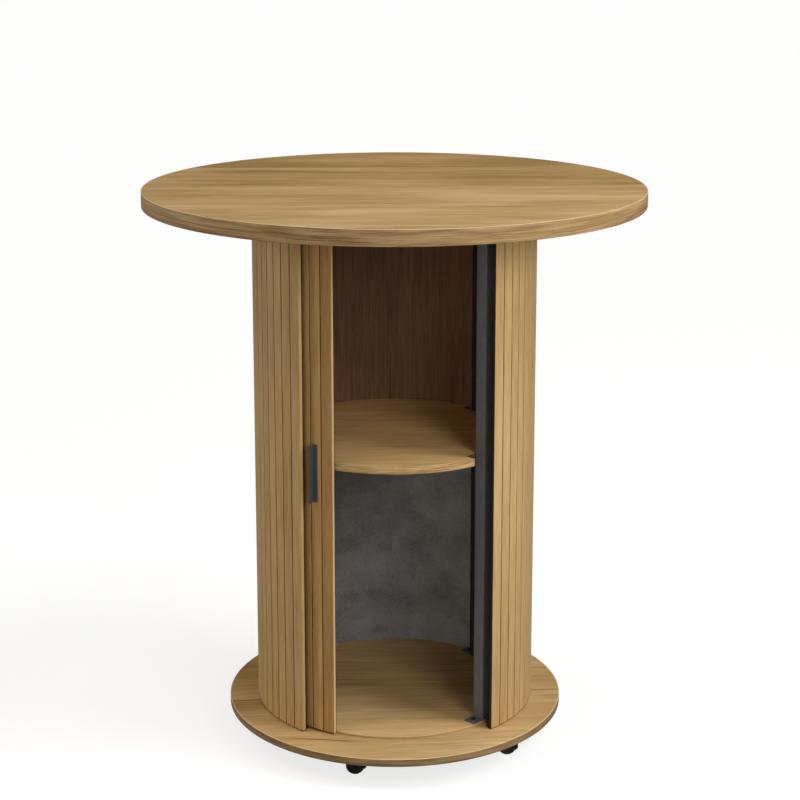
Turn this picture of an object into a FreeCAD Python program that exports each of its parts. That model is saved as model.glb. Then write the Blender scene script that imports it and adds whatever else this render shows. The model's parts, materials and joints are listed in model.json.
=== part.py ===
import FreeCAD, Part
import math
import os

# Round pub table on five twin wheel casters. A curved door of slats slides round
# the axis inside a fixed shell of slats, and opens a cabinet with one shelf.
# Lengths are in millimetres and angles in degrees. The origin is on the floor
# under the middle of the tabletop, +Z is up, and -Y is the middle of the opening.
# Angles run from -Y towards +X.

Vector = FreeCAD.Vector
UP = Vector(0, 0, 1)
CENTRE = Vector(0, 0, 0)

# Heights of the main layers, from the floor up
caster_height = 47.0
base_thickness = 14.0
cabinet_height = 927.0
top_thickness = 28.0

# Round boards
tabletop_diameter = 900.0
base_diameter = 618.0
edge_band_thickness = 1.5
edge_round = 1.0
floor_disc_radius = 228.5
floor_disc_thickness = 4.4
roof_thickness = 14.0
board_gap = 0.3

# Slats of the shell and of the door
slat_pitch = 23.0
slat_thickness = 6.2
slat_gap = 0.4
groove_width = 2.6
groove_depth = 1.7
backing_thickness = 0.8
shell_inner_radius = 249.0
opening_angle = 81.8
shell_sections = 3

# Sliding door
door_inner_radius = 229.5
door_slat_count = 17
door_reveal_angle = 12.5
door_closed_overlap = 3.0
door_runner_height = 1.5
door_glide_height = 2.4
door_slider_length = 14.0
door_slider_count = 4
door_side_gap = 1.0
door_slider_side_gap = 0.3
stop_angle = 3.0
stop_gap = 0.2
stop_height = 14.0
stop_inset = 1.0

# Handle, an angle profile on the second slat
handle_slat = 1
handle_bottom = 427.7
handle_length = 104.0
handle_flange = 8.9
handle_stand = 15.5
handle_wall = 2.0
handle_side = 5.1
handle_corner = 1.5
handle_screw_inset = 16.0

# Top track
track_wall = 1.5
track_depth = 12.0
track_sections = 3
track_section_gap = 0.3
track_screws_each = 2

# Steel posts
post_size = 22.0
post_wall = 1.5
post_corner = 1.5
post_outer_radius = 225.0
front_post_angle = 45.9
rear_post_angle = 129.45
tab_length = 23.0
tab_thickness = 3.0

# Shelf
shelf_height = 501.0
shelf_thickness = 13.5
shelf_edge_thickness = 1.0
shelf_tab_length = 20.0
notch_gap = 1.0

# Liner panels and felt
liner_thickness = 2.8
liner_gap = 0.3
liner_lap = 6.0
liner_screw_rows = 3
liner_screw_inset = 60.0
felt_thickness = 2.0
felt_gap = 0.3

# Brackets that hold the shell
bracket_count = 8
bracket_width = 14.0
bracket_height = 12.0
bracket_wall = 2.5
bracket_side_gap = 0.3

# Screws: head radius, head height, shank radius, shank length
post_screw = (4.2, 2.6, 2.0, 18.0)
roof_screw = (4.2, 2.6, 2.0, 31.0)
shelf_screw = (3.6, 2.2, 1.8, 12.0)
bracket_screw = (2.4, 1.4, 1.2, 6.0)
track_screw = (2.4, 1.0, 1.2, 9.0)
liner_screw = (2.0, 1.2, 1.0, 5.0)
handle_screw = (2.6, 1.5, 1.4, 7.3)
caster_screw = (3.4, 1.8, 1.8, 11.5)
slot_width = 0.7
slot_depth = 0.6

# Casters
caster_count = 5
caster_first_angle = -21.55
caster_edge_inset = 67.0
caster_turns = (-2.0, -5.0, 75.0, 160.0, -130.0)
plate_size = 38.0
plate_thickness = 2.0
plate_corner = 4.0
plate_hole_inset = 5.0
kingpin_radius = 3.0
kingpin_length = 9.0
kingpin_gap = 0.05
boss_radius = 8.0
boss_height = 16.0
boss_top_gap = 0.2
trail = 13.0
wheel_radius = 16.5
wheel_width = 10.0
wheel_gap = 5.6
tyre_thickness = 2.2
tyre_round = 1.6
hub_recess = 1.6
hub_rim = 2.0
hub_centre_radius = 4.6
axle_radius = 2.0
axle_gap = 0.05
axle_boss_radius = 4.5
fender_gap = 1.6
fender_wall = 2.2
fender_low_angle = -8.0
fender_lip_angle = -26.0
fender_high_angle = 160.0
fender_overhang = 0.4
web_thickness = 5.0
web_overlap = 0.5

overrun = 1.0

# Heights worked out from the layers
base_bottom = caster_height
base_top = base_bottom + base_thickness
floor_top = base_top + floor_disc_thickness
top_bottom = base_top + cabinet_height
roof_bottom = top_bottom - roof_thickness
shelf_top = base_top + shelf_height
shelf_bottom = shelf_top - shelf_thickness

# Radii and angles worked out from the slats
shell_backing_radius = shell_inner_radius + backing_thickness
door_backing_radius = door_inner_radius + backing_thickness
door_outer_radius = door_backing_radius + slat_thickness
shell_outer_radius = shell_backing_radius + slat_thickness
shell_start = opening_angle / 2
shell_end = 360 - opening_angle / 2
shell_slat_count = round(math.radians(360 - opening_angle) * shell_outer_radius / slat_pitch)
shell_slat_angle = (360 - opening_angle) / shell_slat_count
door_slat_angle = math.degrees(slat_pitch / door_outer_radius)
door_lead_angle = door_reveal_angle - opening_angle / 2
door_tail_angle = door_lead_angle - door_slat_count * door_slat_angle
door_travel = opening_angle - door_reveal_angle + door_closed_overlap
slider_step = (door_slat_count - 2) // (door_slider_count - 1)
slider_slats = range(1, door_slat_count, slider_step)

# Track, roof and bracket radii worked out from the door
track_inner_radius = door_inner_radius - door_side_gap - track_wall
track_outer_radius = door_outer_radius + door_side_gap + track_wall
roof_radius = track_inner_radius - board_gap
bracket_inner_radius = track_outer_radius + bracket_side_gap
track_web_bottom = top_bottom - track_wall
runner_top = track_web_bottom - track_screw[1] - door_slider_side_gap
door_top = runner_top - door_runner_height
door_bottom = base_top + door_glide_height

# Posts, shelf and liner worked out from the post's outer face
post_middle_radius = post_outer_radius - post_size / 2
post_inner_radius = post_outer_radius - post_size
post_corner_radius = math.hypot(post_outer_radius, post_size / 2)
liner_inner_radius = post_corner_radius + liner_gap
liner_outer_radius = liner_inner_radius + liner_thickness
shelf_radius = liner_inner_radius - liner_gap
tab_middle = post_size / 2 + tab_length / 2

# Casters set in from the base plate's edge
caster_circle_radius = base_diameter / 2 - caster_edge_inset

# Each post with the side on which its tabs stand
POSTS = (
    (front_post_angle, -1),
    (360 - front_post_angle, 1),
    (rear_post_angle, 1),
    (360 - rear_post_angle, -1),
)


# Placing
def on_circle(radius, angle, height=0):
    turn = math.radians(angle)
    return Vector(radius * math.sin(turn), -radius * math.cos(turn), height)


def faced(shape, angle):
    """Turn a shape made with +X outwards so that it faces out at the angle."""
    return shape.rotated(CENTRE, UP, angle - 90)


def box(x_low, x_high, y_low, y_high, z_low, z_high):
    corner = Vector(x_low, y_low, z_low)
    return Part.makeBox(x_high - x_low, y_high - y_low, z_high - z_low, corner)


def disc(radius, bottom, height):
    return Part.makeCylinder(radius, height, Vector(0, 0, bottom))


def ring_sector(inner, outer, bottom, height, start, end):
    middle = (start + end) / 2
    outer_arc = Part.Arc(on_circle(outer, start), on_circle(outer, middle), on_circle(outer, end))
    inner_arc = Part.Arc(on_circle(inner, end), on_circle(inner, middle), on_circle(inner, start))
    edges = [
        outer_arc.toShape(),
        Part.makeLine(on_circle(outer, end), on_circle(inner, end)),
        inner_arc.toShape(),
        Part.makeLine(on_circle(inner, start), on_circle(outer, start)),
    ]
    solid = Part.Face(Part.Wire(edges)).extrude(Vector(0, 0, height))
    return solid.translated(Vector(0, 0, bottom))


def prism(points, bottom, height):
    corners = [Vector(x, y, bottom) for x, y in points]
    face = Part.Face(Part.makePolygon(corners + corners[:1]))
    return face.extrude(Vector(0, 0, height))


def rounded_uprights(solid, radius):
    uprights = [edge for edge in solid.Edges if abs(edge.tangentAt(edge.FirstParameter).z) > 0.99]
    return solid.makeFillet(radius, uprights)


# Screws, with the underside of the head at the origin and the shank pointing down
def screw(sizes):
    head_radius, head_height, shank_radius, shank_length = sizes
    head = Part.makeCylinder(head_radius, head_height)
    shank = Part.makeCylinder(shank_radius, shank_length, Vector(0, 0, -shank_length))
    reach = head_radius - slot_width
    bars = [
        box(-reach, reach, -slot_width / 2, slot_width / 2, head_height - slot_depth, head_height + overrun),
        box(-slot_width / 2, slot_width / 2, -reach, reach, head_height - slot_depth, head_height + overrun),
    ]
    return head.fuse(shank).cut(bars).removeSplitter()


def screw_down(sizes, radial, tangential, height, angle):
    return faced(screw(sizes).translated(Vector(radial, tangential, height)), angle)


def screw_up(sizes, radial, tangential, height, angle):
    turned = screw(sizes).rotated(CENTRE, Vector(1, 0, 0), 180)
    return faced(turned.translated(Vector(radial, tangential, height)), angle)


def screw_out(sizes, radial, tangential, height, angle):
    turned = screw(sizes).rotated(CENTRE, Vector(0, 1, 0), -90)
    return faced(turned.translated(Vector(radial, tangential, height)), angle)


# Slats
def slat(inner, pitch_angle, angle, bottom, height, square_lead=False):
    half_angle = math.radians(pitch_angle / 2)
    outer = inner + slat_thickness
    foot = outer - groove_depth
    inner_half = inner * math.tan(half_angle) - slat_gap / 2
    foot_half = foot * math.tan(half_angle) - slat_gap / 2
    outer_half = outer * math.tan(half_angle) - groove_width / 2
    lead_half = outer * math.tan(half_angle) - slat_gap / 2 if square_lead else outer_half
    points = (
        (inner, -inner_half),
        (foot, -foot_half),
        (outer, -outer_half),
        (outer, lead_half),
        (foot, foot_half),
        (inner, inner_half),
    )
    return faced(prism(points, bottom, height), angle)


def shell_slat_middle(index):
    return shell_start + (index + 0.5) * shell_slat_angle


def door_slat_middle(index):
    return door_lead_angle - (index + 0.5) * door_slat_angle


def bracket_slats():
    last = shell_slat_count - 1
    return [round(last * step / (bracket_count - 1)) for step in range(bracket_count)]


def shell_slats(cutters):
    per_section = shell_slat_count // shell_sections
    sections = []
    for section in range(shell_sections):
        first = section * per_section
        last = shell_slat_count if section == shell_sections - 1 else first + per_section
        slats = []
        for index in range(first, last):
            solid = slat(shell_backing_radius, shell_slat_angle, shell_slat_middle(index),
                         base_top, cabinet_height)
            if index in bracket_slats():
                solid = solid.cut(cutters)
            slats.append(solid)
        sections.append(slats)
    return sections


def shell_backing(cutters):
    sheet = ring_sector(shell_inner_radius, shell_backing_radius, base_top, cabinet_height,
                        shell_start, shell_end)
    return sheet.cut(cutters)


# Brackets between the shell and the boards
def bracket_outer_face():
    return math.sqrt(shell_inner_radius ** 2 - (bracket_width / 2) ** 2)


def bracket(angle, board_level, direction):
    outer = bracket_outer_face()
    half = bracket_width / 2
    far = board_level + direction * bracket_height
    near = board_level + direction * bracket_wall
    foot = box(bracket_inner_radius, outer, -half, half, min(board_level, near), max(board_level, near))
    wall = box(outer - bracket_wall, outer, -half, half, min(board_level, far), max(board_level, far))
    return faced(foot.fuse(wall).removeSplitter(), angle)


def shell_brackets():
    solids = []
    for index in bracket_slats():
        solids.append(bracket(shell_slat_middle(index), base_top, 1))
        solids.append(bracket(shell_slat_middle(index), top_bottom, -1))
    return solids


def shell_bracket_screws():
    upright = bracket_inner_radius + bracket_screw[0] + board_gap
    wall_face = bracket_outer_face() - bracket_wall
    middle = (bracket_wall + bracket_height) / 2
    solids = []
    for index in bracket_slats():
        angle = shell_slat_middle(index)
        solids.append(screw_down(bracket_screw, upright, 0, base_top + bracket_wall, angle))
        solids.append(screw_up(bracket_screw, upright, 0, top_bottom - bracket_wall, angle))
        solids.append(screw_out(bracket_screw, wall_face, 0, base_top + middle, angle))
        solids.append(screw_out(bracket_screw, wall_face, 0, top_bottom - middle, angle))
    return solids


# Boards
def edge_band(radius, bottom, height):
    ring = disc(radius, bottom, height).cut(disc(radius - edge_band_thickness, bottom, height))
    rims = [edge for edge in ring.Edges if edge.Closed and abs(edge.Curve.Radius - radius) < edge_round]
    return ring.makeFillet(edge_round, rims)


def tabletop(cutters):
    radius = tabletop_diameter / 2 - edge_band_thickness
    return disc(radius, top_bottom, top_thickness).cut(cutters)


def base_plate(cutters):
    radius = base_diameter / 2 - edge_band_thickness
    return disc(radius, base_bottom, base_thickness).cut(cutters)


# Posts with their welded tabs
def post(angle):
    half = post_size / 2
    inside = half - post_wall
    height = roof_bottom - floor_top
    tube = box(post_inner_radius, post_outer_radius, -half, half, floor_top, roof_bottom)
    tube = rounded_uprights(tube, post_corner)
    bore = box(post_middle_radius - inside, post_middle_radius + inside, -inside, inside,
               floor_top - overrun, floor_top + height + overrun)
    return faced(tube.cut(bore), angle)


def side_tab(angle, side, bottom):
    near = side * post_size / 2
    far = side * (post_size / 2 + tab_length)
    plate = box(post_inner_radius, post_outer_radius, min(near, far), max(near, far),
                bottom, bottom + tab_thickness)
    return faced(plate, angle)


def shelf_tab(angle):
    half = post_size / 2
    plate = box(post_inner_radius - shelf_tab_length, post_inner_radius, -half, half,
                shelf_bottom - tab_thickness, shelf_bottom)
    return faced(plate, angle)


def post_screws():
    solids = []
    for angle, side in POSTS:
        offset = side * tab_middle
        solids.append(screw_down(post_screw, post_middle_radius, offset, floor_top + tab_thickness, angle))
        solids.append(screw_up(roof_screw, post_middle_radius, offset, roof_bottom - tab_thickness, angle))
    return solids


def post_tabs(cutters):
    """Tabs at the foot and head of each post, the rear ones rounded to clear the felt."""
    felt_room = disc(liner_inner_radius - felt_thickness - felt_gap, floor_top, roof_bottom - floor_top)
    solids = []
    for number, (angle, side) in enumerate(POSTS):
        for level in (floor_top, roof_bottom - tab_thickness):
            tab = side_tab(angle, side, level).cut(cutters)
            solids.append(tab if number < 2 else tab.common(felt_room))
    return solids


def shelf_screws():
    radius = post_inner_radius - shelf_tab_length / 2
    level = shelf_bottom - tab_thickness
    return [screw_up(shelf_screw, radius, 0, level, angle) for angle, side in POSTS]


# Shelf
def post_notches():
    notches = []
    for angle, side in POSTS:
        near = -side * (post_size / 2 + notch_gap)
        far = side * (post_size / 2 + tab_length + notch_gap)
        cut = box(post_inner_radius - notch_gap, shelf_radius + overrun, min(near, far), max(near, far),
                  shelf_bottom - overrun, shelf_top + overrun)
        notches.append(faced(cut, angle))
    return notches


def shelf(cutters):
    board = disc(shelf_radius - shelf_edge_thickness, shelf_bottom, shelf_thickness)
    return board.cut(post_notches() + cutters)


def shelf_edge_band():
    ring = disc(shelf_radius, shelf_bottom, shelf_thickness)
    ring = ring.cut(disc(shelf_radius - shelf_edge_thickness, shelf_bottom, shelf_thickness))
    return ring.cut(post_notches()).Solids


# Liner panels between the posts, and the felt on them
def post_side_angle(offset):
    return math.degrees(math.asin(offset / liner_inner_radius))


def liner_bays():
    ends = (front_post_angle, rear_post_angle, 360 - rear_post_angle, 360 - front_post_angle)
    return list(zip(ends[:-1], ends[1:]))


def liner_panels(cutters):
    lap = post_side_angle(post_size / 2 - liner_lap)
    height = roof_bottom - floor_top
    panels = []
    for start, end in liner_bays():
        panel = ring_sector(liner_inner_radius, liner_outer_radius, floor_top, height, start + lap, end - lap)
        panels.append(panel.cut(cutters))
    return panels


def liner_fixings(piece):
    """Copies of a piece made along +X, one at each screw of the liner panels."""
    offset = post_size / 2 - liner_lap / 2
    face = liner_outer_radius - liner_screw[1] - board_gap
    low = floor_top + liner_screw_inset
    step = (roof_bottom - liner_screw_inset - low) / (liner_screw_rows - 1)
    solids = []
    for start, end in liner_bays():
        for row in range(liner_screw_rows):
            level = low + row * step
            solids.append(faced(piece.translated(Vector(face, offset, level)), start))
            solids.append(faced(piece.translated(Vector(face, -offset, level)), end))
    return solids


def liner_screws():
    return liner_fixings(screw(liner_screw).rotated(CENTRE, Vector(0, 1, 0), 90))


def liner_screw_wells():
    """Wells that sink the screws' heads into the panels."""
    return liner_fixings(Part.makeCylinder(liner_screw[0], liner_thickness, CENTRE, Vector(1, 0, 0)))


def felt_sheets():
    side = post_side_angle(post_size / 2 + felt_gap)
    outer = liner_inner_radius
    inner = outer - felt_thickness
    height = shelf_bottom - felt_gap - floor_top
    return [ring_sector(inner, outer, floor_top, height, start + side, end - side)
            for start, end in liner_bays()]


# Top track
def track_sections_span():
    start = door_tail_angle - stop_angle
    end = door_lead_angle + door_travel + stop_angle
    step = (end - start) / track_sections
    return [(start + index * step, start + (index + 1) * step) for index in range(track_sections)]


def top_track(cutters):
    gap = math.degrees(track_section_gap / 2 / track_outer_radius)
    groove_inner = track_inner_radius + track_wall
    groove_outer = track_outer_radius - track_wall
    solids = []
    for start, end in track_sections_span():
        body = ring_sector(track_inner_radius, track_outer_radius, top_bottom - track_depth, track_depth,
                           start + gap, end - gap)
        groove = ring_sector(groove_inner, groove_outer, top_bottom - track_depth - overrun,
                             track_depth - track_wall + overrun, start - stop_angle, end + stop_angle)
        solids.append(body.cut([groove] + cutters))
    return solids


def track_screws():
    radius = (door_inner_radius + door_outer_radius) / 2
    solids = []
    for start, end in track_sections_span():
        for index in range(track_screws_each):
            angle = start + (end - start) * (index + 0.5) / track_screws_each
            solids.append(screw_up(track_screw, radius, 0, track_web_bottom, angle))
    return solids


# Sliding door
def door_height():
    return door_top - door_bottom


def door_slat(index, cutters):
    solid = slat(door_backing_radius, door_slat_angle, door_slat_middle(index), door_bottom, door_height(),
                 square_lead=index == 0)
    return solid.cut(cutters) if index == handle_slat else solid


def door_backing(cutters):
    sheet = ring_sector(door_inner_radius, door_backing_radius, door_bottom, door_height(),
                        door_tail_angle, door_lead_angle)
    return sheet.cut(cutters)


def door_slider(index, bottom, height, side_gap):
    inner = door_inner_radius - door_side_gap + side_gap
    outer = door_outer_radius + door_side_gap - side_gap
    half = math.degrees(door_slider_length / 2 / door_outer_radius)
    middle = door_slat_middle(index)
    return ring_sector(inner, outer, bottom, height, middle - half, middle + half)


def door_runners():
    return [door_slider(index, door_top, door_runner_height, door_slider_side_gap)
            for index in slider_slats]


def door_glides():
    return [door_slider(index, base_top, door_glide_height, door_side_gap) for index in slider_slats]


def door_stops():
    inner = door_inner_radius + stop_inset
    outer = door_outer_radius - stop_inset
    gap = math.degrees(stop_gap / door_outer_radius)
    closed_edge = door_lead_angle + door_travel + gap
    open_edge = door_tail_angle - gap
    return [
        ring_sector(inner, outer, base_top, stop_height, closed_edge, closed_edge + stop_angle),
        ring_sector(inner, outer, base_top, stop_height, open_edge - stop_angle, open_edge),
    ]


# Handle
def handle_face():
    return door_backing_radius + slat_thickness


def handle_profile():
    face = handle_face()
    low = -handle_side
    return (
        (face, low),
        (face + handle_stand, low),
        (face + handle_stand, low + handle_wall),
        (face + handle_wall, low + handle_wall),
        (face + handle_wall, low + handle_flange),
        (face, low + handle_flange),
    )


def handle(cutters):
    bar = prism(handle_profile(), base_top + handle_bottom, handle_length)
    tips = []
    for edge in bar.Edges:
        middle = edge.CenterOfMass
        at_tip = abs(middle.x - handle_face() - handle_stand) < handle_wall / 2
        if at_tip and abs(edge.tangentAt(edge.FirstParameter).y) > 0.99:
            tips.append(edge)
    bar = bar.makeFillet(handle_corner, tips)
    return faced(bar, door_slat_middle(handle_slat)).cut(cutters)


def handle_screws():
    base = door_inner_radius + handle_screw[1]
    shift = -handle_side + (handle_flange + handle_wall) / 2
    low = base_top + handle_bottom + handle_screw_inset
    high = base_top + handle_bottom + handle_length - handle_screw_inset
    angle = door_slat_middle(handle_slat)
    return [screw_out(handle_screw, base, shift, level, angle) for level in (low, high)]


# Casters, made with the kingpin on the Z axis and the wheels trailing towards +X
def caster_frame(shape, index):
    angle = caster_first_angle + index * 360 / caster_count
    turned = shape.rotated(CENTRE, UP, caster_turns[index])
    return turned.translated(on_circle(caster_circle_radius, angle))


def plate_frame(shape, index):
    angle = caster_first_angle + index * 360 / caster_count
    return faced(shape.translated(Vector(caster_circle_radius, 0, 0)), angle)


def across(radius, width, middle=0):
    """A round bar along Y on the wheels' axis."""
    start = Vector(trail, middle - width / 2, wheel_radius)
    return Part.makeCylinder(radius, width, start, Vector(0, 1, 0))


def caster_plate_screws():
    reach = plate_size / 2 - plate_hole_inset
    turned = screw(caster_screw).rotated(CENTRE, Vector(1, 0, 0), 180)
    solids = []
    for index in range(caster_count):
        for x_side in (-1, 1):
            for y_side in (-1, 1):
                place = Vector(x_side * reach, y_side * reach, base_bottom - plate_thickness)
                solids.append(plate_frame(turned.translated(place), index))
    return solids


def caster_plates(cutters):
    half = plate_size / 2
    bottom = base_bottom - plate_thickness
    plate = rounded_uprights(box(-half, half, -half, half, bottom, base_bottom), plate_corner)
    return [plate_frame(plate, index).cut(cutters) for index in range(caster_count)]


def caster_kingpins():
    top = base_bottom - plate_thickness
    pin = Part.makeCylinder(kingpin_radius, kingpin_length, Vector(0, 0, top - kingpin_length))
    return [caster_frame(pin, index) for index in range(caster_count)]


def spot(radius, angle, along):
    """A place round the wheels' axis, at a distance along it."""
    turn = math.radians(angle)
    return Vector(trail + radius * math.cos(turn), along, wheel_radius + radius * math.sin(turn))


def arc(radius, start, end, along):
    places = [spot(radius, angle, along) for angle in (start, (start + end) / 2, end)]
    return Part.Arc(*places).toShape()


def between(edges, width):
    """The solid between a closed line of edges and its copy across the wheels."""
    return Part.Face(Part.Wire(edges)).extrude(Vector(0, width, 0))


def fender():
    inner = wheel_radius + fender_gap
    outer = inner + fender_wall
    width = wheel_gap + 2 * (wheel_width + fender_overhang)
    side = -width / 2
    # The lower end slants, so the inner arc ends lower than the outer one
    edges = [
        arc(outer, fender_low_angle, fender_high_angle, side),
        Part.makeLine(spot(outer, fender_high_angle, side), spot(inner, fender_high_angle, side)),
        arc(inner, fender_high_angle, fender_lip_angle, side),
        Part.makeLine(spot(inner, fender_lip_angle, side), spot(outer, fender_low_angle, side)),
    ]
    return between(edges, width)


def web():
    """The wall between the two wheels, from the axle out to the fender."""
    reach = wheel_radius + fender_gap + web_overlap
    side = -web_thickness / 2
    hub = Vector(trail, side, wheel_radius)
    edges = [
        arc(reach, fender_lip_angle, fender_high_angle, side),
        Part.makeLine(spot(reach, fender_high_angle, side), hub),
        Part.makeLine(hub, spot(reach, fender_lip_angle, side)),
    ]
    return between(edges, web_thickness)


def caster_housing():
    top = base_bottom - plate_thickness - boss_top_gap
    tall = boss_height - boss_top_gap
    boss = Part.makeCylinder(boss_radius, tall, Vector(0, 0, top - tall))
    wheel_room = [across(wheel_radius + fender_gap, wheel_width + fender_overhang + overrun,
                         side * (wheel_gap + wheel_width + fender_overhang + overrun) / 2)
                  for side in (-1, 1)]
    body = boss.cut(wheel_room).fuse([web(), fender(), across(axle_boss_radius, web_thickness)])
    bore_bottom = base_bottom - plate_thickness - kingpin_length - kingpin_gap
    bore = Part.makeCylinder(kingpin_radius + kingpin_gap, kingpin_length + overrun, Vector(0, 0, bore_bottom))
    return body.cut([bore, across(axle_radius + axle_gap, web_thickness + overrun)]).removeSplitter()


def caster_axle():
    return across(axle_radius, wheel_gap + 2 * (wheel_width - hub_recess))


def revolved_about_axle(points):
    """Turn a profile, given as radius and distance along Y, round the wheels' axis."""
    corners = [Vector(trail + radius, along, wheel_radius) for radius, along in points]
    face = Part.Face(Part.makePolygon(corners + corners[:1]))
    return face.revolve(Vector(trail, 0, wheel_radius), Vector(0, 1, 0), 360)


def caster_hub(side):
    near = side * wheel_gap / 2
    far = side * (wheel_gap / 2 + wheel_width)
    dish = far - side * hub_recess
    rim = wheel_radius - tyre_thickness
    return revolved_about_axle((
        (axle_radius, near),
        (rim, near),
        (rim, far),
        (rim - hub_rim, far),
        (rim - hub_rim - hub_recess, dish),
        (hub_centre_radius, dish),
        (axle_radius, dish),
    ))


def caster_tyre(side):
    middle = side * (wheel_gap + wheel_width) / 2
    rim = wheel_radius - tyre_thickness
    tyre = across(wheel_radius, wheel_width, middle).cut(across(rim, wheel_width, middle))
    edges = [edge for edge in tyre.Edges if edge.Closed and abs(edge.Curve.Radius - wheel_radius) < tyre_round]
    return tyre.makeFillet(tyre_round, edges)


# Writing the pieces
def save(name, solids):
    shape = solids[0] if len(solids) == 1 else Part.makeCompound(solids)
    shape.exportStep("parts/" + name + ".step")


def flat(results):
    return [solid for result in results for solid in result.Solids]


os.makedirs("parts", exist_ok=True)

fixings_post = post_screws()
fixings_shelf = shelf_screws()
fixings_bracket = shell_bracket_screws()
fixings_track = track_screws()
fixings_caster = caster_plate_screws()
fixings_liner = liner_screws()
fixings_handle = handle_screws()

save("tabletop", [tabletop(fixings_post + fixings_bracket + fixings_track)])
save("tabletop_edge_band", [edge_band(tabletop_diameter / 2, top_bottom, top_thickness)])
save("roof_panel", [disc(roof_radius, roof_bottom, roof_thickness).cut(fixings_post)])
save("base_plate", [base_plate(fixings_post + fixings_bracket + fixings_caster)])
save("base_edge_band", [edge_band(base_diameter / 2, base_bottom, base_thickness)])
save("floor_disc", [disc(floor_disc_radius, base_top, floor_disc_thickness).cut(fixings_post)])

shell_names = ("shell_slats_right", "shell_slats_rear", "shell_slats_left")
for shell_name, section_slats in zip(shell_names, shell_slats(fixings_bracket)):
    save(shell_name, flat(section_slats))
save("shell_backing", [shell_backing(fixings_bracket)])
save("shell_brackets", flat(piece.cut(fixings_bracket) for piece in shell_brackets()))
save("shell_bracket_screws", fixings_bracket)

save("front_posts", flat(post(angle).cut(fixings_liner) for angle, side in POSTS[:2]))
save("rear_posts", flat(post(angle).cut(fixings_liner) for angle, side in POSTS[2:]))
save("post_tabs", flat(post_tabs(fixings_post)))
save("post_screws", fixings_post)
save("shelf_tabs", flat(shelf_tab(angle).cut(fixings_shelf) for angle, side in POSTS))
save("shelf", [shelf(fixings_shelf)])
save("shelf_edge_band", shelf_edge_band())
save("shelf_screws", fixings_shelf)

liner_cutters = fixings_liner + liner_screw_wells()
for liner_name, panel in zip(("liner_right", "liner_rear", "liner_left"), liner_panels(liner_cutters)):
    save(liner_name, flat([panel]))
save("liner_screws", fixings_liner)
save("felt_lining", felt_sheets())

save("top_track", flat(top_track(fixings_track)))
save("track_screws", fixings_track)
save("door_stops", door_stops())

save("door_lead_slat", flat([door_slat(0, fixings_handle)]))
save("door_slats", flat(door_slat(index, fixings_handle) for index in range(1, door_slat_count)))
save("door_backing", [door_backing(fixings_handle)])
save("door_glides", door_glides())
save("door_runners", door_runners())
save("handle", [handle(fixings_handle)])
save("handle_screws", fixings_handle)

save("caster_plates", flat(caster_plates(fixings_caster)))
save("caster_kingpins", caster_kingpins())
save("caster_screws", fixings_caster)
for caster in range(caster_count):
    prefix = "caster_" + str(caster + 1)
    save(prefix + "_housing", [caster_frame(caster_housing(), caster)])
    save(prefix + "_axle", [caster_frame(caster_axle(), caster)])
    save(prefix + "_hubs", [caster_frame(caster_hub(side), caster) for side in (-1, 1)])
    save(prefix + "_tyres", [caster_frame(caster_tyre(side), caster) for side in (-1, 1)])

print("door travel", round(door_travel, 3), "lead edge", round(door_lead_angle, 3),
      "tail edge", round(door_tail_angle, 3), "height", top_bottom + top_thickness)
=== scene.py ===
import bmesh
import bpy
import json
import math
from mathutils import Euler, Matrix, Vector


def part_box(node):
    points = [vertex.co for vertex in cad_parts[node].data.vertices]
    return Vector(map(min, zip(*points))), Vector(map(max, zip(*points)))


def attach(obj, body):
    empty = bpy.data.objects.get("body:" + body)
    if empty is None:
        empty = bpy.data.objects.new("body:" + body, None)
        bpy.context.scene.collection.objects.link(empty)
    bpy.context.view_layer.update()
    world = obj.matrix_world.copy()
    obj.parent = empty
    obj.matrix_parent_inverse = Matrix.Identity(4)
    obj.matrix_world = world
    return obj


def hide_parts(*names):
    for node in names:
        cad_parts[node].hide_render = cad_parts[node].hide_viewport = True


# Pub table with storage: a round top on a drum of upright slats, with a curved door
# that slides inside the drum, a shelf, steel posts and five twin wheel casters.
# Lengths are in metres. Angles are in degrees and run from -Y, the middle of the
# opening, towards +X.

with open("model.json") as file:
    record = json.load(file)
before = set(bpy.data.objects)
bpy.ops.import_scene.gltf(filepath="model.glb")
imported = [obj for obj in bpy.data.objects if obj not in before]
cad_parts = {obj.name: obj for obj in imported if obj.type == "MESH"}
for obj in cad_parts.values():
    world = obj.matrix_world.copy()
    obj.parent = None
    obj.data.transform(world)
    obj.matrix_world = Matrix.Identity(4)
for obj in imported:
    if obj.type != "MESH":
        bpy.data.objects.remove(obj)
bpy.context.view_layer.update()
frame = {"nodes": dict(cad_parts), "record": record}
mm = 0.001


def low(node):
    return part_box(node)[0]


def high(node):
    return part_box(node)[1]


# Levels and radii that the frame gives
base_bottom = low("base_plate").z
base_top = high("base_plate").z
floor_top = high("floor_disc").z
shelf_bottom = low("shelf").z
shelf_top = high("shelf").z
roof_bottom = low("roof_panel").z
top_bottom = low("tabletop").z
top_level = high("tabletop").z
door_bottom = low("door_slats").z
door_top = high("door_slats").z
handle_bottom = low("handle").z
handle_top = high("handle").z
tabletop_radius = high("tabletop_edge_band").x
base_radius = high("base_edge_band").x
floor_disc_radius = high("floor_disc").x
shell_backing_radius = high("shell_backing").x

# Boards
edge_band_thickness = 1.5 * mm
edge_round = 1.0 * mm
board_ease = 0.3 * mm
banded_ease = 0.05 * mm
disc_ease = 0.5 * mm
turned_steps = 288

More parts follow.
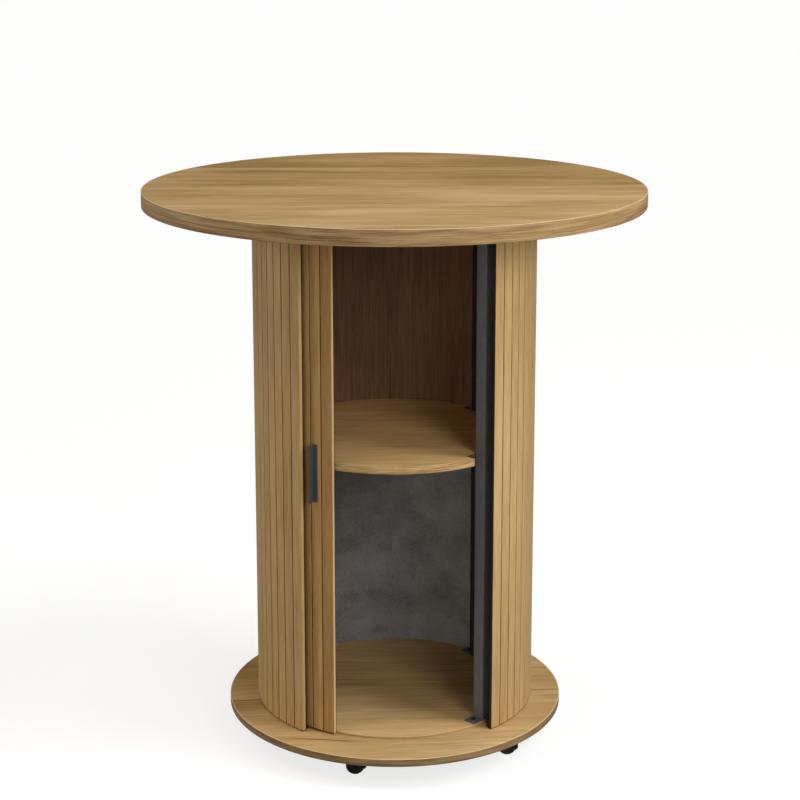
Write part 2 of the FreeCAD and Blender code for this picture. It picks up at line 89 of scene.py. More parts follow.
# Slats
slat_thickness = 6.2 * mm
slat_gap = 0.4 * mm
slat_ease = 0.35 * mm
groove_width = 2.6 * mm
groove_depth = 1.7 * mm
backing_thickness = 0.8 * mm
foot_line = 1.2 * mm
foot_shadow = 1.0 * mm
opening_angle = 81.8
shell_slat_count = 54
shell_sections = ("right", "rear", "left")
door_inner_radius = 229.5 * mm
door_slat_count = 17
door_slat_pitch = 23.0 * mm
door_reveal_angle = 12.5

# Posts
post_size = 22.0 * mm
post_wall = 1.5 * mm
post_corner = 1.2 * mm
post_inner_corner = 0.1 * mm
post_outer_radius = 225.0 * mm
front_post_angle = 45.9
rear_post_angle = 129.45
tab_length = 23.0 * mm
tab_thickness = 3.0 * mm
notch_gap = 1.0 * mm

# Shelf, liner and felt
shelf_edge_thickness = 1.0 * mm
shelf_edge_ease = 0.25 * mm
shelf_arris_height = 0.2 * mm
shelf_arris_depth = 0.5 * mm
shelf_screw_inset = 10.0 * mm
liner_gap = 0.3 * mm
liner_thickness = 2.8 * mm
liner_lap = 6.0 * mm
felt_thickness = 2.0 * mm
felt_gap = 0.3 * mm

# Handle
handle_flange = 8.9 * mm
handle_stand = 15.5 * mm
handle_wall = 2.0 * mm
handle_side = 5.1 * mm
handle_corner = 1.5 * mm
handle_ease = 0.35 * mm
handle_screw_inset = 16.0 * mm

# Screws: head radius, head height, shank radius, shank length
post_screw = (4.2 * mm, 2.6 * mm, 2.0 * mm, 18.0 * mm)
roof_screw = (4.2 * mm, 2.6 * mm, 2.0 * mm, 31.0 * mm)
shelf_screw = (3.6 * mm, 2.2 * mm, 1.8 * mm, 12.0 * mm)
handle_screw = (2.6 * mm, 1.5 * mm, 1.4 * mm, 7.3 * mm)
caster_screw = (3.4 * mm, 1.8 * mm, 1.8 * mm, 11.5 * mm)
recess_width = 0.8 * mm
recess_depth = 0.9 * mm
recess_share = 0.62
tip_share = 0.6
head_edge_share = 0.35
head_steps = 6
head_step_turn = math.pi / 12

# Casters
caster_first_angle = -21.55
caster_circle_radius = 242.0 * mm
caster_turns = (-2.0, -5.0, 75.0, 160.0, -130.0)
caster_step = 360 / len(caster_turns)
caster_plate_thickness = 2.0 * mm
caster_hole_offset = 14.0 * mm
kingpin_radius = 3.0 * mm
kingpin_length = 9.0 * mm
boss_radius = 8.0 * mm
boss_gap = 0.2 * mm
boss_height = 15.8 * mm
trail = 13.0 * mm
wheel_radius = 16.5 * mm
wheel_width = 10.0 * mm
wheel_gap = 5.6 * mm
tyre_thickness = 2.2 * mm
tyre_round = 1.6 * mm
hub_recess = 1.6 * mm
hub_rim = 2.0 * mm
hub_cap_radius = 4.6 * mm
axle_radius = 2.0 * mm
axle_boss_radius = 4.5 * mm
hood_gap = 0.5 * mm
hood_wall = 3.3 * mm
hood_overhang = 0.4 * mm
hood_low_angle = -8.0
hood_lip_angle = -26.0
hood_high_angle = 160.0
hood_ease = 0.6 * mm
hood_arc_step = 4.0
web_thickness = 5.0 * mm
web_overlap = 0.5 * mm
bore_past_boss = 1.0 * mm
hub_ease = 0.25 * mm
hub_cap_steps = ((1.2 * mm, 0.0), (0.6 * mm, 0.5 * mm), (-0.4 * mm, 0.9 * mm))
hub_cap_height = 1.1 * mm
hub_cap_bottom = 0.1 * mm

# Wood grain
plank_jump = 5.0
plank_turn = 0.9
pore_shade = 0.1
pore_relief = 0.8
seam_half_width = 3.2 * mm

# Values of a slat's groove attribute, all painted light: 0 to 0.5 turns brown as painted shade in
# the grooves, 1 to 1.6 near black as painted shade, and -0.4 to -1 pale as painted highlight
dark_end_painted_shade = 2.0
pale_end_painted_highlight = -0.6
lead_end_painted_highlight = -1.0
least_groove = 0.3

# Values worked out from those above
wheel_near = wheel_gap / 2
wheel_far = wheel_near + wheel_width
hub_radius = wheel_radius - tyre_thickness
liner_inner_radius = math.hypot(post_outer_radius, post_size / 2) + liner_gap
liner_outer_radius = liner_inner_radius + liner_thickness
shelf_radius = liner_inner_radius - liner_gap
post_middle_radius = post_outer_radius - post_size / 2
post_inner_radius = post_outer_radius - post_size
shell_slat_angle = (360 - opening_angle) / shell_slat_count
door_backing_radius = door_inner_radius + backing_thickness
door_outer_radius = door_backing_radius + slat_thickness
door_slat_angle = math.degrees(door_slat_pitch / door_outer_radius)
door_lead_angle = door_reveal_angle - opening_angle / 2
door_tail_angle = door_lead_angle - door_slat_count * door_slat_angle
handle_angle = door_lead_angle - 1.5 * door_slat_angle  # the middle of the second slat
POSTS = (
    (front_post_angle, -1),
    (rear_post_angle, 1),
    (360 - rear_post_angle, -1),
    (360 - front_post_angle, 1),
)


# Nodes
def add(tree, kind, inputs=None, **settings):
    """A new node with its settings, and its inputs set or linked."""
    node = tree.nodes.new(kind)
    for name, value in settings.items():
        setattr(node, name, value)
    for name, value in (inputs or {}).items():
        if isinstance(value, bpy.types.NodeSocket):
            tree.links.new(value, node.inputs[name])
        else:
            node.inputs[name].default_value = value
    return node


def new_group(name, kind, inputs, outputs):
    """A node group with named sockets, given as (name, type, value)."""
    tree = bpy.data.node_groups.new(name, kind)
    for label, socket_type, value in inputs:
        socket = tree.interface.new_socket(label, in_out="INPUT", socket_type="NodeSocket" + socket_type)
        if value is not None:
            socket.default_value = value
    for label, socket_type in outputs:
        tree.interface.new_socket(label, in_out="OUTPUT", socket_type="NodeSocket" + socket_type)
    return tree, add(tree, "NodeGroupInput").outputs, add(tree, "NodeGroupOutput").inputs


def math_node(tree, operation, first, second=0.0, third=0.0):
    inputs = {0: first, 1: second}
    if operation in ("MULTIPLY_ADD", "WRAP"):
        inputs[2] = third
    return add(tree, "ShaderNodeMath", inputs, operation=operation).outputs[0]


def times(tree, first, second):
    return math_node(tree, "MULTIPLY", first, second)


def add_times(tree, part, share, base):
    """The base plus a share of the part."""
    return math_node(tree, "MULTIPLY_ADD", part, share, base)


def centred(tree, value):
    """A value of 0 to 1 made -0.5 to 0.5."""
    return math_node(tree, "SUBTRACT", value, 0.5)


def split(tree, vector):
    return add(tree, "ShaderNodeSeparateXYZ", {0: vector}).outputs


def join(tree, parts):
    """A vector from its parts, given by number."""
    return add(tree, "ShaderNodeCombineXYZ", parts).outputs[0]


def stored(tree, attribute):
    return add(tree, "ShaderNodeAttribute", attribute_name=attribute).outputs["Fac"]


def scaled(tree, vector, scale):
    return add(tree, "ShaderNodeVectorMath", {0: vector, 1: scale}, operation="MULTIPLY").outputs[0]


def moved_by(tree, vector, shift):
    return add(tree, "ShaderNodeVectorMath", {0: vector, 1: shift}, operation="ADD").outputs[0]


def noise(tree, vector, scale, detail=2.0, roughness=0.5, distortion=0.0):
    """Noise with a scale of its own along each axis, in features per metre."""
    inputs = {"Vector": scaled(tree, vector, scale), "Scale": 1.0, "Detail": detail,
              "Roughness": roughness, "Distortion": distortion}
    return add(tree, "ShaderNodeTexNoise", inputs).outputs[0]


def ramp(tree, value, start, end, low_value=0.0, high_value=1.0, smooth=False):
    inputs = {0: value, 1: start, 2: end, 3: low_value, 4: high_value}
    kind = "SMOOTHSTEP" if smooth else "LINEAR"
    return add(tree, "ShaderNodeMapRange", inputs, interpolation_type=kind).outputs[0]


def blend_colours(tree, share, first, second, kind="MIX"):
    node = add(tree, "ShaderNodeMix", {0: share, 6: first, 7: second}, data_type="RGBA", blend_type=kind)
    return node.outputs[2]


def tint(red, green, blue):
    """A linear colour from the numbers 0 to 255 of a screen."""
    linear = []
    for part in (red, green, blue):
        share = part / 255
        linear.append(share / 12.92 if share <= 0.04045 else ((share + 0.055) / 1.055) ** 2.4)
    return (*linear, 1.0)


# Groups that several finishes share
def make_round_axis():
    """Turns a place into arc length round the table's axis and height, in both orders."""
    tree, source, target = new_group(
        "round_axis", "ShaderNodeTree",
        [("Vector", "Vector", None), ("Radius", "Float", 0.25)],
        [("Along", "Vector"), ("Upright", "Vector")])
    parts = split(tree, source["Vector"])
    back = times(tree, parts[1], -1.0)
    angle = math_node(tree, "ARCTAN2", parts[0], back)
    arc = times(tree, angle, source["Radius"])
    tree.links.new(join(tree, {0: arc, 1: parts[2]}), target["Along"])
    tree.links.new(join(tree, {0: parts[2], 1: arc}), target["Upright"])
    return tree


def make_wood_grain():
    """Wood grain along X: planks, growth figure, fibres, pores and dark veins."""
    tree, source, target = new_group(
        "wood_grain", "ShaderNodeTree",
        [("Vector", "Vector", None), ("Plank Width", "Float", 0.24), ("Plank Shift", "Float", 0.0),
         ("Plank Phase", "Float", 0.0), ("Plank Contrast", "Float", 0.1), ("Sway", "Float", 0.03),
         ("Cloud", "Float", 1.0), ("Figure", "Float", 1.0), ("Streak", "Float", 1.0),
         ("Fibre", "Float", 0.7), ("Vein", "Float", 1.0)],
        [("Tone", "Float"), ("Vein", "Float"), ("Seam", "Float"), ("Height", "Float")])
    parts = split(tree, source["Vector"])
    shifted = math_node(tree, "ADD", parts[1], source["Plank Shift"])
    across = math_node(tree, "DIVIDE", shifted, source["Plank Width"])
    plank = math_node(tree, "FLOOR", across)
    chance = add(tree, "ShaderNodeTexWhiteNoise", {"W": plank}, noise_dimensions="1D").outputs
    jump = scaled(tree, chance["Color"], (plank_jump, plank_jump, plank_jump))
    moved = moved_by(tree, source["Vector"], jump)
    sway = centred(tree, noise(tree, moved, (3.0, 4.0, 4.0), 2.0))
    bent = moved_by(tree, moved, join(tree, {1: times(tree, sway, source["Sway"])}))

    # Features per metre along and across the grain, then detail, roughness and distortion
    layers = {
        "cloud": ((2.6, 9.0, 9.0), 3.0, 0.55),
        "band": ((2.4, 34.0, 34.0), 3.0, 0.6, 0.2),
        "streak": ((7.5, 150.0, 150.0), 3.0, 0.6),
        "fibre": ((16.0, 620.0, 620.0), 3.0, 0.65),
    }
    cloud, band, streak, fibre = [noise(tree, bent, *layer) for layer in layers.values()]
    patch = ramp(tree, noise(tree, moved, (5.0, 16.0, 16.0), 2.0), 0.35, 0.65, 0.35, 1.0)
    pore = ramp(tree, noise(tree, bent, (48.0, 1700.0, 1700.0), 1.0), 0.6, 0.72)
    line = ramp(tree, noise(tree, bent, (2.2, 85.0, 85.0), 2.0, 0.5, 0.1), 0.67, 0.75, smooth=True)
    place_of_veins = ramp(tree, noise(tree, moved, (3.5, 9.0, 9.0), 1.0), 0.5, 0.6)
    vein = times(tree, line, place_of_veins)

    tone = add_times(tree, centred(tree, cloud), source["Cloud"], 0.5)
    for layer, share in ((band, "Figure"), (streak, "Streak")):
        part = times(tree, centred(tree, layer), source[share])
        tone = add_times(tree, part, patch, tone)
    fibre_part = times(tree, centred(tree, fibre), source["Fibre"])
    tone = math_node(tree, "ADD", fibre_part, tone)
    plank_part = math_node(tree, "COSINE", add_times(tree, plank, plank_turn, source["Plank Phase"]))
    tone = add_times(tree, plank_part, source["Plank Contrast"], tone)
    tone = add_times(tree, pore, -pore_shade, tone)
    part = math_node(tree, "FRACT", across)
    edge = math_node(tree, "MINIMUM", part, math_node(tree, "SUBTRACT", 1.0, part))
    distance = times(tree, edge, source["Plank Width"])
    seam = ramp(tree, distance, 0.0, seam_half_width, 1.0, 0.0, smooth=True)
    relief = add_times(tree, pore, -pore_relief, fibre)
    tree.links.new(ramp(tree, tone, 0.0, 1.0), target["Tone"])
    tree.links.new(times(tree, vein, source["Vein"]), target["Vein"])
    tree.links.new(seam, target["Seam"])
    tree.links.new(relief, target["Height"])
    return tree


def make_fine_coat():
    """The small unevenness of a sprayed or moulded surface."""
    tree, source, target = new_group(
        "fine_coat", "ShaderNodeTree",
        [("Vector", "Vector", None), ("Grain Size", "Float", 0.0006), ("Mottle", "Float", 0.1)],
        [("Tone", "Float"), ("Sheen", "Float"), ("Height", "Float")])
    density = math_node(tree, "DIVIDE", 1.0, source["Grain Size"])
    grain = add(tree, "ShaderNodeTexNoise", {"Vector": source["Vector"], "Scale": density, "Detail": 2.0})
    cloud = noise(tree, source["Vector"], (14.0, 14.0, 9.0), 3.0)
    handled = noise(tree, source["Vector"], (55.0, 55.0, 40.0), 4.0, 0.6)
    tone = add_times(tree, centred(tree, cloud), source["Mottle"], 0.5)
    tree.links.new(tone, target["Tone"])
    tree.links.new(handled, target["Sheen"])
    tree.links.new(grain.outputs[0], target["Height"])
    return tree


def make_edge_wear():
    """Where arrises are rubbed lighter, from the bend of the surface, broken up by noise."""
    tree, source, target = new_group(
        "edge_wear", "ShaderNodeTree",
        [("Vector", "Vector", None), ("Start", "Float", 0.53), ("End", "Float", 0.62)],
        [("Wear", "Float")])
    bend = add(tree, "ShaderNodeNewGeometry").outputs["Pointiness"]
    patches = noise(tree, source["Vector"], (90.0, 90.0, 60.0), 3.0)
    ridge = add(tree, "ShaderNodeMapRange", {0: bend, 1: source["Start"], 2: source["End"]}).outputs[0]
    tree.links.new(times(tree, ridge, patches), target["Wear"])
    return tree


def make_cloth_threads():
    """Plain weave on a curved wall, from arc length and height."""
    tree, source, target = new_group(
        "cloth_threads", "ShaderNodeTree",
        [("Vector", "Vector", None), ("Thread", "Float", 0.0009)],
        [("Over", "Float"), ("Height", "Float")])
    parts = split(tree, source["Vector"])
    turns = math_node(tree, "DIVIDE", math.pi, source["Thread"])
    warp = math_node(tree, "SINE", times(tree, parts[0], turns))
    weft = math_node(tree, "SINE", times(tree, parts[1], turns))
    over = times(tree, warp, weft)
    height = math_node(tree, "ABSOLUTE", over)
    tree.links.new(ramp(tree, over, -1.0, 1.0), target["Over"])
    tree.links.new(height, target["Height"])
    return tree


ROUND_AXIS = make_round_axis()
WOOD_GRAIN = make_wood_grain()
FINE_COAT = make_fine_coat()
EDGE_WEAR = make_edge_wear()
CLOTH_THREADS = make_cloth_threads()


# Finishes
def new_finish(name):
    material = bpy.data.materials.new(name)
    material.use_nodes = True
    tree = material.node_tree
    return material, tree, tree.nodes["Principled BSDF"]


def place(tree, shift=(0.0, 0.0, 0.0), turn=0.0):
    """Object coordinates, turned about Z by an angle and moved by a shift."""
    coordinates = add(tree, "ShaderNodeTexCoord").outputs["Object"]
    return add(tree, "ShaderNodeMapping", {"Vector": coordinates, "Location": shift,
                                           "Rotation": (0.0, 0.0, math.radians(turn))}).outputs[0]


def use_group(tree, group, inputs):
    return add(tree, "ShaderNodeGroup", inputs, node_tree=group).outputs


def round_place(tree, radius, way):
    """Arc length and height on a wall of that radius, Along or Upright."""
    return use_group(tree, ROUND_AXIS, {"Vector": place(tree), "Radius": radius})[way]


def raise_surface(tree, shader, height, depth, strength=1.0):
    bump = add(tree, "ShaderNodeBump", {"Height": height, "Distance": depth, "Strength": strength})
    tree.links.new(bump.outputs[0], shader.inputs["Normal"])


def dress(tree, shader, colour, roughness, specular=0.5):
    """Give the shader its colour, its roughness, a number or a socket, and its specular level."""
    tree.links.new(colour, shader.inputs["Base Color"])
    if isinstance(roughness, bpy.types.NodeSocket):
        tree.links.new(roughness, shader.inputs["Roughness"])
    else:
        shader.inputs["Roughness"].default_value = roughness
    shader.inputs["Specular IOR Level"].default_value = specular


def dress_wood(tree, shader, colour, grain, dull, bright, specular, depth, strength=0.7):
    """Rougher where the grain is dark, and raised by its fibres."""
    dress(tree, shader, colour, ramp(tree, grain["Tone"], 0.0, 1.0, dull, bright), specular)
    raise_surface(tree, shader, grain["Height"], depth, strength)


def wood_colour(tree, grain, dark, middle, light, vein):
    """Tone to colour through three shades, then the dark veins."""
    lower = ramp(tree, grain["Tone"], 0.1, 0.5)
    upper = ramp(tree, grain["Tone"], 0.5, 0.9)
    colour = blend_colours(tree, lower, dark, middle)
    colour = blend_colours(tree, upper, colour, light)
    return blend_colours(tree, grain["Vein"], colour, vein)


OAK_DARK = tint(158, 126, 75)
OAK_MIDDLE = tint(196, 161, 107)
OAK_LIGHT = tint(224, 191, 140)
OAK_VEIN = tint(112, 84, 50)
OAK_SEAM = tint(214, 186, 136)
# Painted shade for the slats' V-grooves and along their foot
GROOVE_PAINTED_SHADE = tint(70, 43, 19)
RAW_EDGE = tint(112, 80, 46)
DISC_EDGE = tint(182, 147, 104)
# Painted shade for the right shell's end face, which stays in shadow
END_PAINTED_SHADE = tint(44, 45, 43)
# Painted highlight for the lit end faces of the lead slat and the left shell
END_PAINTED_HIGHLIGHT = tint(224, 193, 142)
DARK_SEAM = tint(104, 76, 44)


def shaded(tree, colour, shade, warmth=0.0):
    """A colour times a shade, a number or a socket, made warmer by a share."""
    red = times(tree, shade, 1.0 + warmth)
    blue = times(tree, shade, 1.0 - warmth)
    factor = add(tree, "ShaderNodeCombineColor", {0: red, 1: shade, 2: blue}).outputs[0]
    return blend_colours(tree, 1.0, colour, factor, "MULTIPLY")


def dark_mark(tree, start, end, half_width, wander=0.0012):
    """A thin dark line on the board from one place (x, y) to another, fading at its ends."""
    parts = split(tree, place(tree))
    slope = (end[1] - start[1]) / (end[0] - start[0])
    level = add_times(tree, parts[0], slope, start[1] - slope * start[0])
    waver = centred(tree, noise(tree, place(tree), (28.0, 4.0, 4.0), 2.0))
    level = add_times(tree, waver, 2 * wander, level)
    away = math_node(tree, "ABSOLUTE", math_node(tree, "SUBTRACT", parts[1], level))
    line = ramp(tree, away, 0.0, half_width, 1.0, 0.0, smooth=True)
    fade = (end[0] - start[0]) * 0.25
    rise = ramp(tree, parts[0], start[0], start[0] + fade)
    fall = ramp(tree, parts[0], end[0] - fade, end[0], 1.0, 0.0)
    return times(tree, line, times(tree, rise, fall))


def oak_board(name, shift, planks, seam_colour, seam_strength, shade=1.0, marks=(), turn=0.0, figure=1.0,
              warmth=0.0, raw_edge=RAW_EDGE):
    """Satin oak laminate with its grain along X, a raw edge and dark marks.

    The planks are given as width, shift, phase and contrast.
    """
    material, tree, shader = new_finish(name)
    plank_width, plank_shift, plank_phase, plank_contrast = planks
    grain = use_group(tree, WOOD_GRAIN, {"Vector": place(tree, shift, turn), "Plank Width": plank_width,
                                         "Plank Shift": plank_shift - shift[1],
                                         "Plank Phase": plank_phase, "Plank Contrast": plank_contrast,
                                         "Sway": 0.035, "Cloud": figure, "Figure": 1.4 * figure,
                                         "Streak": 1.1, "Fibre": 0.7, "Vein": 0.75 * figure})
    colour = wood_colour(tree, grain, OAK_DARK, OAK_MIDDLE, OAK_LIGHT, OAK_VEIN)
    seam = times(tree, grain["Seam"], seam_strength)
    colour = shaded(tree, blend_colours(tree, seam, colour, seam_colour), shade, warmth)
    for start, end, half_width, strength in marks:
        line = times(tree, dark_mark(tree, start, end, half_width), strength)
        colour = blend_colours(tree, line, colour, DARK_SEAM)
    facing = add(tree, "ShaderNodeNewGeometry").outputs["Normal"]
    level = math_node(tree, "ABSOLUTE", split(tree, facing)[2])
    colour = blend_colours(tree, ramp(tree, level, 0.3, 0.7, 1.0, 0.0), colour, raw_edge)
    dress_wood(tree, shader, colour, grain, 0.5, 0.4, 0.28, 0.00005, 0.6)
    return material


def oak_rim(name, shade, arris_highlight_start, arris_highlight_colour):
    """Edge banding: fine lines along the rim, and a painted highlight along its top arris."""
    material, tree, shader = new_finish(name)
    along = round_place(tree, 0.4, "Along")
    grain = use_group(tree, WOOD_GRAIN, {"Vector": along, "Plank Width": 4.0, "Plank Shift": 1.0,
                                         "Sway": 0.002, "Cloud": 0.25, "Figure": 0.3, "Streak": 2.2,
                                         "Fibre": 1.8, "Vein": 0.4})
    height = split(tree, place(tree))[2]
    lines = noise(tree, join(tree, {2: height}), (1.0, 1.0, 420.0), 1.0)
    broken = ramp(tree, noise(tree, along, (5.0, 60.0, 5.0), 2.0), 0.35, 0.6)
    line = times(tree, ramp(tree, lines, 0.52, 0.66, smooth=True), broken)
    colour = wood_colour(tree, grain, tint(118, 89, 53), tint(162, 129, 84), tint(192, 160, 112), OAK_VEIN)
    lined = blend_colours(tree, times(tree, line, 0.7), colour, DARK_SEAM)
    colour = shaded(tree, lined, shade)
    arris_painted_highlight = stored(tree, "arris_painted_highlight")
    colour = blend_colours(tree, ramp(tree, arris_painted_highlight, arris_highlight_start, arris_highlight_start + 0.6), colour, arris_highlight_colour)
    dress_wood(tree, shader, colour, grain, 0.55, 0.44, 0.25, 0.00006)
    return material


def oak_slat(name, foot, least_shade, most_shade, warmth=0.0):
    """Oak wrap with upright grain, varied slat by slat, painted shade in its grooves and at its foot."""
    material, tree, shader = new_finish(name)
    upright = round_place(tree, 0.25, "Upright")
    chance = stored(tree, "slat_chance")
    jump = join(tree, {0: times(tree, chance, 9.0), 2: times(tree, chance, 5.0)})
    moved = moved_by(tree, upright, jump)
    grain = use_group(tree, WOOD_GRAIN, {"Vector": moved, "Plank Width": 8.0, "Plank Shift": 2.0,
                                         "Sway": 0.006, "Cloud": 0.5, "Figure": 0.5, "Streak": 1.0,
                                         "Fibre": 1.1, "Vein": 0.35})
    colour = wood_colour(tree, grain, tint(148, 116, 66), tint(184, 150, 96), tint(206, 174, 122), OAK_VEIN)
    colour = shaded(tree, colour, ramp(tree, chance, 0.0, 1.0, least_shade, most_shade), warmth)
    # Painted light from the attribute: groove shade, dark end shade and pale end highlight
    groove = stored(tree, "groove")
    colour = blend_colours(tree, ramp(tree, groove, 0.0, 0.5), colour, GROOVE_PAINTED_SHADE)
    colour = blend_colours(tree, ramp(tree, groove, 1.0, 1.6), colour, END_PAINTED_SHADE)
    colour = blend_colours(tree, ramp(tree, groove, -0.4, -1.0), colour, END_PAINTED_HIGHLIGHT)
    # Painted contact shade along the foot of each slat
    level = split(tree, place(tree))[2]
    painted_foot_shade = ramp(tree, level, foot + foot_shadow / 2, foot + foot_shadow * 3 / 2, 0.9, 0.0)
    colour = blend_colours(tree, painted_foot_shade, colour, GROOVE_PAINTED_SHADE)
    dress_wood(tree, shader, colour, grain, 0.56, 0.46, 0.3, 0.00006)
    return material


def brown_liner():
    """Very dark brown hardboard with upright grain."""
    material, tree, shader = new_finish("brown_liner")
    upright = round_place(tree, 0.226, "Upright")
    grain = use_group(tree, WOOD_GRAIN, {"Vector": upright, "Plank Width": 0.09, "Plank Shift": 0.03,
                                         "Plank Contrast": 0.2, "Sway": 0.01, "Cloud": 0.6,
                                         "Figure": 0.6, "Streak": 1.2, "Fibre": 1.3, "Vein": 0.5})
    # Browns paler than the real dark board: painted light for the dim light inside the cabinet
    colour = wood_colour(tree, grain, tint(84, 61, 45), tint(114, 84, 62), tint(138, 105, 80),
                         tint(58, 41, 30))
    dress_wood(tree, shader, colour, grain, 0.66, 0.54, 0.25, 0.0001, 0.8)
    return material


def charcoal_felt():
    """Pressed felt: mottled wool with short fibres lying every way."""
    material, tree, shader = new_finish("charcoal_felt")
    along = round_place(tree, 0.2236, "Along")
    cloud = noise(tree, along, (16.0, 16.0, 16.0), 4.0, 0.62)
    tuft = noise(tree, along, (260.0, 260.0, 260.0), 3.0, 0.6)
    lying = noise(tree, along, (380.0, 1900.0, 900.0), 2.0, 0.6, 0.8)
    standing = noise(tree, along, (1900.0, 420.0, 900.0), 2.0, 0.6, 0.8)
    fibres = math_node(tree, "MAXIMUM", lying, standing)
    tone = add_times(tree, centred(tree, tuft), 0.7, cloud)
    tone = add_times(tree, centred(tree, fibres), 0.5, tone)
    # Greys paler than the real charcoal felt: painted light for the dim light inside the cabinet
    colour = blend_colours(tree, ramp(tree, tone, 0.25, 0.85), tint(114, 115, 117), tint(172, 173, 175))
    dress(tree, shader, colour, 0.95, 0.15)
    shader.inputs["Sheen Weight"].default_value = 0.25
    shader.inputs["Sheen Roughness"].default_value = 0.6
    raise_surface(tree, shader, math_node(tree, "ADD", fibres, tuft), 0.0004, 0.8)
    return material


def black_canvas():
    material, tree, shader = new_finish("black_canvas")
    along = round_place(tree, 0.24, "Along")
    threads = use_group(tree, CLOTH_THREADS, {"Vector": along})
    worn = noise(tree, along, (30.0, 30.0, 30.0), 3.0)
    share = times(tree, threads["Over"], ramp(tree, worn, 0.3, 0.7, 0.5, 1.0))
    colour = blend_colours(tree, share, tint(22, 21, 20), tint(46, 44, 42))
    dress(tree, shader, colour, 0.9, 0.2)
    raise_surface(tree, shader, threads["Height"], 0.0002)
    return material


def coated(name, colour, worn_colour, roughness, grain_size, depth, metallic=0.0, wear=0.5):
    """A sprayed, plated or moulded surface with slightly rubbed arrises."""
    material, tree, shader = new_finish(name)
    spot = place(tree)
    coat = use_group(tree, FINE_COAT, {"Vector": spot, "Grain Size": grain_size, "Mottle": 0.5})
    rubbed = use_group(tree, EDGE_WEAR, {"Vector": spot})["Wear"]
    darker = tuple(part * 0.86 for part in colour[:3]) + (1.0,)
    lighter = tuple(min(1.0, part * 1.14) for part in colour[:3]) + (1.0,)
    mixed = blend_colours(tree, coat["Tone"], darker, lighter)
    mixed = blend_colours(tree, times(tree, rubbed, wear), mixed, worn_colour)
    dress(tree, shader, mixed, ramp(tree, coat["Sheen"], 0.3, 0.7, roughness * 0.88, roughness * 1.12))
    shader.inputs["Metallic"].default_value = metallic
    raise_surface(tree, shader, coat["Height"], depth, 0.6)
    return material


# Dark marks: start, end, half width, strength
TOP_MARKS = (((-0.268, -0.211), (-0.102, -0.216), 0.0022, 0.75),)
BASE_MARKS = (
    ((-0.207, -0.218), (-0.05, -0.236), 0.003, 0.9),
    ((-0.165, -0.219), (-0.06, -0.243), 0.002, 0.6),
)
OAK_TOP = oak_board("oak_top", (0.31, 0.0, 0.1), (0.24, 8 * mm, 2.0, 0.13), OAK_SEAM, 0.55, marks=TOP_MARKS)
OAK_BASE = oak_board("oak_base", (1.7, 0.4, 0.0), (0.6, 39 * mm, 0.0, 0.03), DARK_SEAM, 0.75,
                     shade=1.04, marks=BASE_MARKS, turn=-3.4, figure=0.75, warmth=-0.02)
# Shelf and floor disc brightened by their shade: painted light for the dim light inside the cabinet
OAK_SHELF_PAINTED_LIGHT = oak_board("oak_shelf_painted_light", (3.1, 0.9, 0.0), (0.24, 230 * mm, 0.0, 0.05), OAK_SEAM, 0.2,
                      shade=1.5, figure=0.6)
OAK_DISC_PAINTED_LIGHT = oak_board("oak_disc_painted_light", (2.3, 1.4, 0.0), (0.9, 300 * mm, 0.0, 0.0), OAK_SEAM, 0.0,
                     shade=1.15, figure=0.55, raw_edge=DISC_EDGE)
# The pale arris colours of the rims are painted highlights
OAK_RIM = oak_rim("oak_rim", 0.94, 0.1, tint(224, 197, 152))
OAK_BASE_RIM = oak_rim("oak_base_rim", 0.69, 0.1, tint(226, 198, 152))
# Shelf rim brightened by its shade: painted light
OAK_SHELF_RIM_PAINTED_LIGHT = oak_rim("oak_shelf_rim_painted_light", 1.4, 0.0, tint(236, 208, 166))
shell_foot = base_top + foot_line
OAK_SLAT = oak_slat("oak_slat", shell_foot, 1.0, 1.14)
# Left shell's slats darker and warmer: painted shade
OAK_LEFT_SLAT_PAINTED_SHADE = oak_slat("oak_left_slat_painted_shade", shell_foot, 0.92, 1.02, 0.03)
# Door slats brighter and warmer: painted bounce light
OAK_DOOR_SLAT_PAINTED_LIGHT = oak_slat("oak_door_slat_painted_light", door_bottom, 1.0, 1.14, 0.12)
# Lead slat darker and warmer: painted shade
OAK_LEAD_PAINTED_SHADE = oak_slat("oak_lead_slat_painted_shade", door_bottom, 0.78, 0.78, 0.17)
BROWN_LINER_PAINTED_LIGHT = brown_liner()
FELT_PAINTED_LIGHT = charcoal_felt()
CANVAS = black_canvas()
# Front posts' grey drawn paler than the real coat: painted light for the dim light inside the cabinet
GREY_STEEL_PAINTED_LIGHT = coated("grey_powder_coat", tint(95, 98, 102), tint(140, 140, 140), 0.42, 0.7 * mm, 0.00004)
BLACK_METAL = coated("satin_black_metal", tint(69, 72, 76), tint(120, 120, 120), 0.36, 0.5 * mm, 0.00002)
# Rear posts: their dark grey coat drawn near black as painted shade for the deep shadow at the back
REAR_POST_PAINTED_SHADE_COAT = coated("rear_post_painted_shade_coat", tint(34, 34, 35), tint(60, 60, 60), 0.6, 0.7 * mm, 0.00004)
BLACK_STEEL = coated("black_oxide_steel", tint(46, 45, 44), tint(110, 108, 104), 0.4, 0.4 * mm, 0.00001, 0.6)
ZINC = coated("bright_zinc", tint(196, 197, 200), tint(225, 225, 225), 0.3, 0.5 * mm, 0.00001, 1.0)
BLACK_PLASTIC = coated("moulded_black_plastic", tint(36, 35, 36), tint(78, 78, 78), 0.5, 0.5 * mm, 0.00003)
RUBBER = coated("black_rubber", tint(34, 34, 34), tint(60, 60, 60), 0.8, 0.8 * mm, 0.00004, wear=0.2)
TYRE = coated("wheel_tread", tint(30, 30, 31), tint(58, 58, 58), 0.7, 0.6 * mm, 0.00003, wear=0.3)
